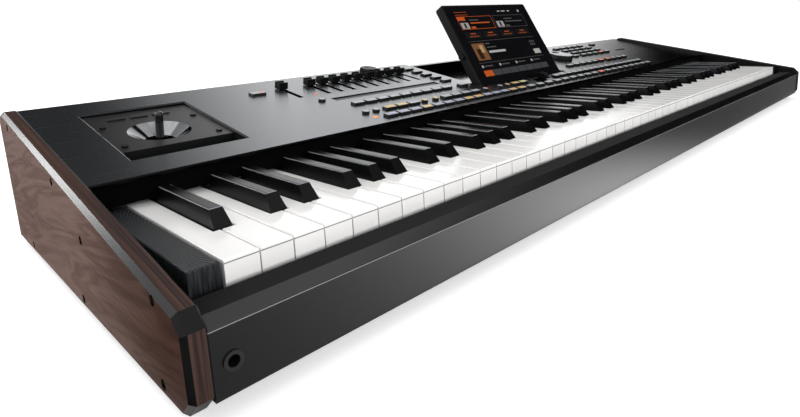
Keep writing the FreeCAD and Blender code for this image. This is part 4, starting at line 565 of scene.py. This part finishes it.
# Places on the panel in mm: across from its middle, and up from its front edge.
front_lit = [(-326 + 19.6 * number, FRONT_ROW) for number in range(13)]
front_lit += [(-69, FRONT_ROW), (175, FRONT_ROW)]
front_tints = [LAVENDER] * 3 + [AMBER] + [LAVENDER] * 3 + [AMBER] * 2 + [LAVENDER] * 3 + [AMBER]
front_tints += [AMBER, ORANGE]
middle_lit = [(-308, MIDDLE_ROW), (-288.4, MIDDLE_ROW), (-54, MIDDLE_ROW), (-34.4, MIDDLE_ROW)]
middle_tints = [AMBER, AMBER, AMBER, LIME]
block_lit = [(287.5, BLOCK_ROW), (318, BLOCK_ROW), (385, 124)]
round_lit = [(-249, MIDDLE_ROW), (-229, MIDDLE_ROW), (-74, MIDDLE_ROW)]
for name, places, half, corner, tints, body in (
        ("front_row_lenses", front_lit, WIDE_LENS, OBLONG, front_tints, "front_row_buttons"),
        ("middle_row_lenses", middle_lit, WIDE_LENS, OBLONG, middle_tints, "middle_row_buttons"),
        ("right_block_lenses", block_lit, WIDE_LENS, OBLONG, [ORANGE] * 3, "right_block_buttons"),
        ("round_lenses", round_lit, ROUND_LENS, ROUND, [AMBER] * 3, "round_buttons"),
        ("power_lens", [(-402.5, 164.5)], POWER_LENS, OBLONG, [ORANGE], "power_button")):
    lenses = stacked_pads(name, on_panel, np.array(places) * MM, np.array(half) * MM, LENS_LEVELS, corner,
                          LENS_SIDES, tints, lit_lens, body)


# Signal lamps: two orange light pipes pressed into the panel, one by the sliders and one at the front row.
# They are moulded of the same frosted silicone as the lenses, with low domed tops, and glow as these do.

LAMP_PLACES = np.array([(-346.8, 131.8), (-344.7, 22.3)]) * MM
LAMP_HALVES = np.array([(2.4, 2.0), (4.0, 2.4)]) * MM
LAMP_LEVELS = [(1.0, -1.0 * MM), (1.0, 0.1 * MM), (0.8, 0.5 * MM)]
LAMP_CORNER = 0.6
lamps = stacked_pads("signal_lamps", on_panel, LAMP_PLACES, LAMP_HALVES, LAMP_LEVELS, LAMP_CORNER, LENS_SIDES,
                     [ORANGE, "#ee8a34"], lit_lens, "chassis")


# Strip display: a smoked acrylic window let into the panel under the sliders, with unlit cells behind it.
# The cells show as faint patches in the dark window.

smoked = mottled("smoked_acrylic_window", patch=4 * MM, detail=2.0, dark="#070708", light="#161617",
                 surface={"Roughness": 0.4, "IOR": 1.3})
dress(smoked, "strip_window")


# Display shell: a black ABS moulding that tilts on two hinge pins.
# Its tool was spark eroded, which leaves a fine grit, so the shell is nearly black and shines little.

eroded = mottled("spark_eroded_black_abs", patch=1.4 * MM, detail=3.0, dark="#030303", light="#09090a",
                 surface={"IOR": 1.28}, gloss=(0.38, 0.56), bump=0.25, depth=0.3 * MM)
dress(eroded, "display_shell")


# Cover glass: bonded into the shell over the screen, and coated against glare.
# It stays nearly black around the lit picture, with faint finger marks in its gloss.

cover_glass = mottled("coated_dark_cover_glass", patch=30 * MM, detail=4.0, dark="#08080a", light="#101013",
                      surface={"IOR": 1.25}, gloss=(0.12, 0.22))
dress(cover_glass, "display_glass")


# Picture: lit liquid crystal cells behind the cover glass, here thin tiles laid on it.
# They show a generic page of bars and fields that glow evenly; marks lie a hair above the fields they are on.

DISPLAY_TILT = np.radians(58)
DISPLAY_MIDDLE = 3 * MM
GLASS_FRONT = 7 * MM
HINGE = on_panel(np.array(0.0), np.array(65 * MM), np.array(-7 * MM))


def on_display(across, up, out):
    """Display frame to the room: up and out turn by the tilt about the hinge; out counts from the glass."""
    return np.stack([across + DISPLAY_MIDDLE,
                     HINGE[1] + up * np.cos(DISPLAY_TILT) - (out + GLASS_FRONT) * np.sin(DISPLAY_TILT),
                     HINGE[2] + up * np.sin(DISPLAY_TILT) + (out + GLASS_FRONT) * np.cos(DISPLAY_TILT)], -1)


CELL_HAZE = 2 * MM
SCREEN_GLOW = 0.65
screen = new_finish("lit_liquid_crystal_cells")
tinted = add(screen, "Attribute", {"attribute_name": "tint"}).outputs["Color"]
place = add(screen, "TexCoord", {}).outputs["Object"]
haze = add(screen, "TexNoise", {"Vector": place, "Scale": 1 / CELL_HAZE, "Detail": 1.0}).outputs[0]
dull = add(screen, "MapRange", {"Value": haze, "To Min": 0.2, "To Max": 0.3})
glow = add(screen, "BsdfPrincipled", {"Base Color": linear("#000000"), "Roughness": dull.outputs[0],
                                      "Emission Color": tinted, "Emission Strength": SCREEN_GLOW})
add(screen, "OutputMaterial", {"Surface": glow.outputs[0]})

FIELD, GREY_FIELD, RULE, PALE, SILVER = "#1b1b1d", "#4b4c4e", "#5d5b59", "#c9c7c3", "#b8b6b2"
TAN, MARK_BROWN, MARK_CREAM, MARK_BLACK = "#8a5f3e", "#3a2415", "#c9a878", "#141414"
MARK_RED, MARK_RUST = "#b5542c", "#8f4728"
MARKS = (MARK_BROWN, MARK_CREAM, MARK_BLACK, MARK_RED, MARK_RUST)
MARK_LIFT = 0.04 * MM
TILE_LEVELS = [(1.0, -0.2 * MM), (1.0, 0.05 * MM)]
TILE_CORNER = 0.0
TILE_SIDES = 4

# Tiles in mm: middle across and up from the hinge line, half width, half height and colour.
tiles = []
for number in range(8):
    tiles.append((-73.5 + 20.5 * number, 12.5, 9.7, 4.5, ORANGE if number == 0 else GREY_FIELD))
for number in range(4):
    step = 41 * number
    tiles += [(step - 80, 23.5, 1.8, 1.8, PALE), (step - 66, 23.5, 9.5, 0.9, RULE),
              (step - 64, 73.5, 18.5, 5.5, FIELD), (step - 64, 76, 6, 0.9, MARK_RED),
              (step - 64, 71.5, 11, 0.9, MARK_RUST)]
for height in (29, 63.5):
    tiles.append((-1, height, 83, 0.3, RULE))
tiles += [(-67, 46.5, 14, 13.5, TAN), (-70, 43, 5, 8, MARK_BROWN), (-62, 51, 4, 6, MARK_CREAM),
          (-44, 58.5, 5, 1, RULE), (-38, 52.5, 11, 0.9, RULE), (-29, 45, 20, 1.8, PALE),
          (71, 37.5, 8.5, 4, PALE)]
for height in (55, 50):
    tiles += [(place_across, height, 1.6, 1.6, RULE) for place_across in (64, 69, 74)]
for side, trim in ((-43, ORANGE), (42, RULE)):
    tiles += [(side, 104.5, 40.5, 0.3, trim), (side, 83.5, 40.5, 0.3, trim),
              (side - 40, 94, 0.3, 10.5, trim), (side + 40, 94, 0.3, 10.5, trim),
              (side - 29, 89.5, 8.5, 5, SILVER), (side - 29, 89.5, 2.2, 4, MARK_BLACK),
              (side - 12, 86, 5, 1.6, trim), (side + 8, 93.5, 23, 1, trim), (side - 4, 98.5, 11, 0.9, RULE)]
tiles += [(-74.5, 101, 8.5, 3, ORANGE), (-69, 112, 14, 0.3, ORANGE), (-69, 107.5, 14, 0.3, ORANGE),
          (24, 112, 3, 0.9, PALE), (36, 112, 5, 0.9, PALE), (50, 112, 3, 0.9, PALE), (77, 111.5, 2, 2, PALE)]
across, up, half_wide, half_high, tints = zip(*tiles)
STRETCH = np.array([1.06, 1.09]) * MM
PICTURE_LIFT = np.array([0.0, 5.3 * MM])
picture = stacked_pads("display_picture", on_display, np.stack([across, up], -1) * STRETCH + PICTURE_LIFT,
                       np.stack([half_wide, half_high], -1) * STRETCH, TILE_LEVELS, TILE_CORNER, TILE_SIDES,
                       tints, screen, "display", [MARK_LIFT if tint in MARKS else 0.0 for tint in tints])


# Floor: a white paper sweep that runs out under the white sky, as in a photo studio.
# Paper is matt and nearly even. To the camera it is lifted a little towards white, and it keeps the shadow.

FLOOR_HALF = 40.0
PAPER_CLOUDS_PER_METRE = 60.0
CAMERA_LIFT = 0.5


def lying(left, right, front, back, height):
    """The corners of a level sheet."""
    return [(left, front, height), (right, front, height), (right, back, height), (left, back, height)]


paper = new_finish("white_paper_sweep")
place = add(paper, "TexCoord", {}).outputs["Object"]
clouds = add(paper, "TexNoise", {"Vector": place, "Scale": PAPER_CLOUDS_PER_METRE}).outputs[0]
tone = add(paper, "Mix", {"data_type": "RGBA", 0: clouds, 6: linear("#f2f2f2"), 7: linear("#f6f6f6")})
seen = add(paper, "LightPath", {}).outputs["Is Camera Ray"]
lift = add(paper, "Math", {"operation": "MULTIPLY", 0: seen, 1: CAMERA_LIFT})
matt = add(paper, "BsdfPrincipled", {"Base Color": tone.outputs[2], "Roughness": 0.9,
                                     "Emission Color": linear("#ffffff"),
                                     "Emission Strength": lift.outputs[0]})
add(paper, "OutputMaterial", {"Surface": matt.outputs[0]})
floor_corners = lying(-FLOOR_HALF, FLOOR_HALF, -FLOOR_HALF, FLOOR_HALF, 0.0)
floor = new_piece("studio_floor", floor_corners, [(0, 1, 2, 3)], paper)


# Reflector cards: two tall lit boards behind and at the right, graded from black to light and fading upwards.
# Only reflections see them: they leave the panel dark at both ends and light in the middle.

CARD_FOOT = 0.05
CARD_TOP = 9.0
FULL_UP_TO = 2.2
FADED_FROM = 3.6
FADED = 0.3
BACK_WALL = 2.0
RIGHT_WALL = 2.5


def card(name, material, corners):
    """A flat card that only reflections see."""
    sheet = new_piece(name, corners, [(0, 1, 2, 3)], material)
    sheet.visible_camera = False
    sheet.visible_diffuse = False
    sheet.visible_shadow = False


def graded_card(name, axis, lean, dark_to, light_from, light, start, end):
    """An upright card from start to end, from black to light along an axis; the borders lean with height,
    at axis = border + lean * z, and the light fades between two heights."""
    finish = new_finish(name + "_paper")
    place = add(finish, "TexCoord", {}).outputs["Object"]
    where = add(finish, "SeparateXYZ", {"Vector": place}).outputs
    leaning = add(finish, "Math", {"operation": "MULTIPLY", 0: where[2], 1: lean}).outputs[0]
    along = add(finish, "Math", {"operation": "SUBTRACT", 0: where[axis], 1: leaning}).outputs[0]
    graded = add(finish, "MapRange", {"Value": along, "From Min": dark_to, "From Max": light_from,
                                      "To Max": light}).outputs[0]
    fade = add(finish, "MapRange", {"Value": where[2], "From Min": FULL_UP_TO, "From Max": FADED_FROM,
                                    "To Min": 1.0, "To Max": FADED}).outputs[0]
    shine = add(finish, "Math", {"operation": "MULTIPLY", 0: graded, 1: fade}).outputs[0]
    lit = add(finish, "Emission", {"Strength": shine})
    add(finish, "OutputMaterial", {"Surface": lit.outputs[0]})
    card(name, finish, [(*start, CARD_FOOT), (*end, CARD_FOOT), (*end, CARD_TOP), (*start, CARD_TOP)])


graded_card("card_behind", axis=0, lean=0.4, dark_to=-0.46, light_from=0.42, light=1.9,
            start=(-0.75, BACK_WALL), end=(RIGHT_WALL, BACK_WALL))
graded_card("card_right", axis=1, lean=0.2, dark_to=0.68, light_from=1.24, light=2.2,
            start=(RIGHT_WALL, -2.5), end=(RIGHT_WALL, BACK_WALL))


# Flag: black cloth on the floor at the left, which only reflections see.
# It is matt and swallows light, so the wood's skin doesn't mirror the white floor as a haze.

CLOTH_PATCH = 1 / 30
flag_cloth = mottled("black_studio_cloth", patch=CLOTH_PATCH, detail=2.0, dark="#050505", light="#0a0a0a",
                     surface={"Roughness": 1.0, "Specular IOR Level": 0.0})
card("flag_left", flag_cloth, lying(left=-1.7, right=-0.66, front=-0.42, back=1.6, height=0.002))


# Bounce card: a silvered board on the floor before the rail, brightest at one place, seen by reflections.
# It puts the soft bright field on the rail's face; its strength falls off as exp(-d * d), with d the
# distance from the bright place in widths.

BOUNCE_MIDDLE = -0.25
BOUNCE_WIDTH = 0.24
BOUNCE_LEAST = 0.2
BOUNCE_MOST = 3.4
bounce_finish = new_finish("silver_bounce_card")
place = add(bounce_finish, "TexCoord", {}).outputs["Object"]
along = add(bounce_finish, "SeparateXYZ", {"Vector": place}).outputs[0]
offset = add(bounce_finish, "MapRange", {"clamp": False, "Value": along, "From Min": BOUNCE_MIDDLE,
                                         "From Max": BOUNCE_MIDDLE + BOUNCE_WIDTH}).outputs[0]
spread = add(bounce_finish, "Math", {"operation": "MULTIPLY", 0: offset, 1: offset}).outputs[0]
downward = add(bounce_finish, "Math", {"operation": "MULTIPLY", 0: spread, 1: -1.0}).outputs[0]
fall = add(bounce_finish, "Math", {"operation": "EXPONENT", 0: downward}).outputs[0]
shine = add(bounce_finish, "MapRange", {"Value": fall, "To Min": BOUNCE_LEAST,
                                        "To Max": BOUNCE_MOST}).outputs[0]
lit = add(bounce_finish, "Emission", {"Strength": shine})
add(bounce_finish, "OutputMaterial", {"Surface": lit.outputs[0]})
card("bounce_card", bounce_finish, lying(left=-0.75, right=3.0, front=-0.9, back=-0.21, height=0.003))


# Sky and soft boxes: an even white surround, with four lamps behind white cloth.
# The camera, metal and glass see a white sky, and the object is lit by a weaker one. The front box lights the
# keys and the rail but isn't mirrored, so that the panel doesn't blaze when it is seen from behind.

SKY_LIGHT = 0.62
world = bpy.data.worlds.new("white_studio")
bpy.context.scene.world = world
world.use_nodes = True
world.node_tree.nodes.clear()
seen = add(world, "LightPath", {}).outputs
mirrored = add(world, "Math", {"operation": "MAXIMUM", 0: seen["Is Camera Ray"], 1: seen["Is Glossy Ray"]})
shown = add(world, "Math", {"operation": "MAXIMUM", 0: mirrored.outputs[0], 1: seen["Is Transmission Ray"]})
lamp_sky = add(world, "Background", {"Color": linear("#ffffff"), "Strength": SKY_LIGHT})
white_sky = add(world, "Background", {"Color": linear("#ffffff"), "Strength": 1.0})
both = add(world, "MixShader", {0: shown.outputs[0], 1: lamp_sky.outputs[0], 2: white_sky.outputs[0]})
add(world, "OutputWorld", {"Surface": both.outputs[0]})

# Each box: place in metres, turn in radians, width and height in metres, and watts.
SOFT_BOXES = {"top_box": ((-0.1, 0.3, 2.2), (0.0, 0.0, 0.0), (2.6, 1.2), 18.0),
              "left_box": ((-1.9, 0.7, 1.1), (0.0, -1.1, -0.3), (1.0, 1.0), 6.0),
              "front_box": ((0.1, -2.2, 0.5), (1.4, 0.0, 0.0), (2.6, 0.8), 35.0),
              "rim_box": ((-1.5, 1.95, 0.9), (1.245, 0.0, -2.559), (0.35, 0.35), 6.0)}
for name, (spot, turn, size, watts) in SOFT_BOXES.items():
    lamp = bpy.data.lights.new(name, "AREA")
    lamp.shape = "RECTANGLE"
    lamp.size, lamp.size_y = size
    lamp.energy = watts
    box = bpy.data.objects.new(name, lamp)
    box.location = spot
    box.rotation_euler = turn
    box.visible_glossy = name != "front_box"
    bpy.context.scene.collection.objects.link(box)


# Camera: low at the left front corner, turned to the right and slightly rolled, with a wide lens.
# Its place, angles, lens and shift were fitted to the corners of the keys and the edges of the case.

CAMERA_SPOT = (-0.73812, -0.45000, 0.19436)
CAMERA_HEADING = np.radians(-44.60975)
CAMERA_PITCH = np.radians(90 - 10.63327)
CAMERA_ROLL = np.radians(-2.85026)
lens = bpy.data.cameras.new("photo_camera")
lens.sensor_width = 36.0
lens.lens = 24.839
lens.shift_x = -0.01725
lens.shift_y = -0.10216
lens.clip_start = 0.02
lens.clip_end = 200.0
camera = bpy.data.objects.new("photo_camera", lens)
aimed = Matrix.Rotation(CAMERA_HEADING, 4, "Z") @ Matrix.Rotation(CAMERA_PITCH, 4, "X")
camera.matrix_world = Matrix.Translation(CAMERA_SPOT) @ aimed @ Matrix.Rotation(CAMERA_ROLL, 4, "Z")
bpy.context.scene.collection.objects.link(camera)
bpy.context.scene.camera = camera
bpy.context.scene.view_settings.view_transform = "Standard"
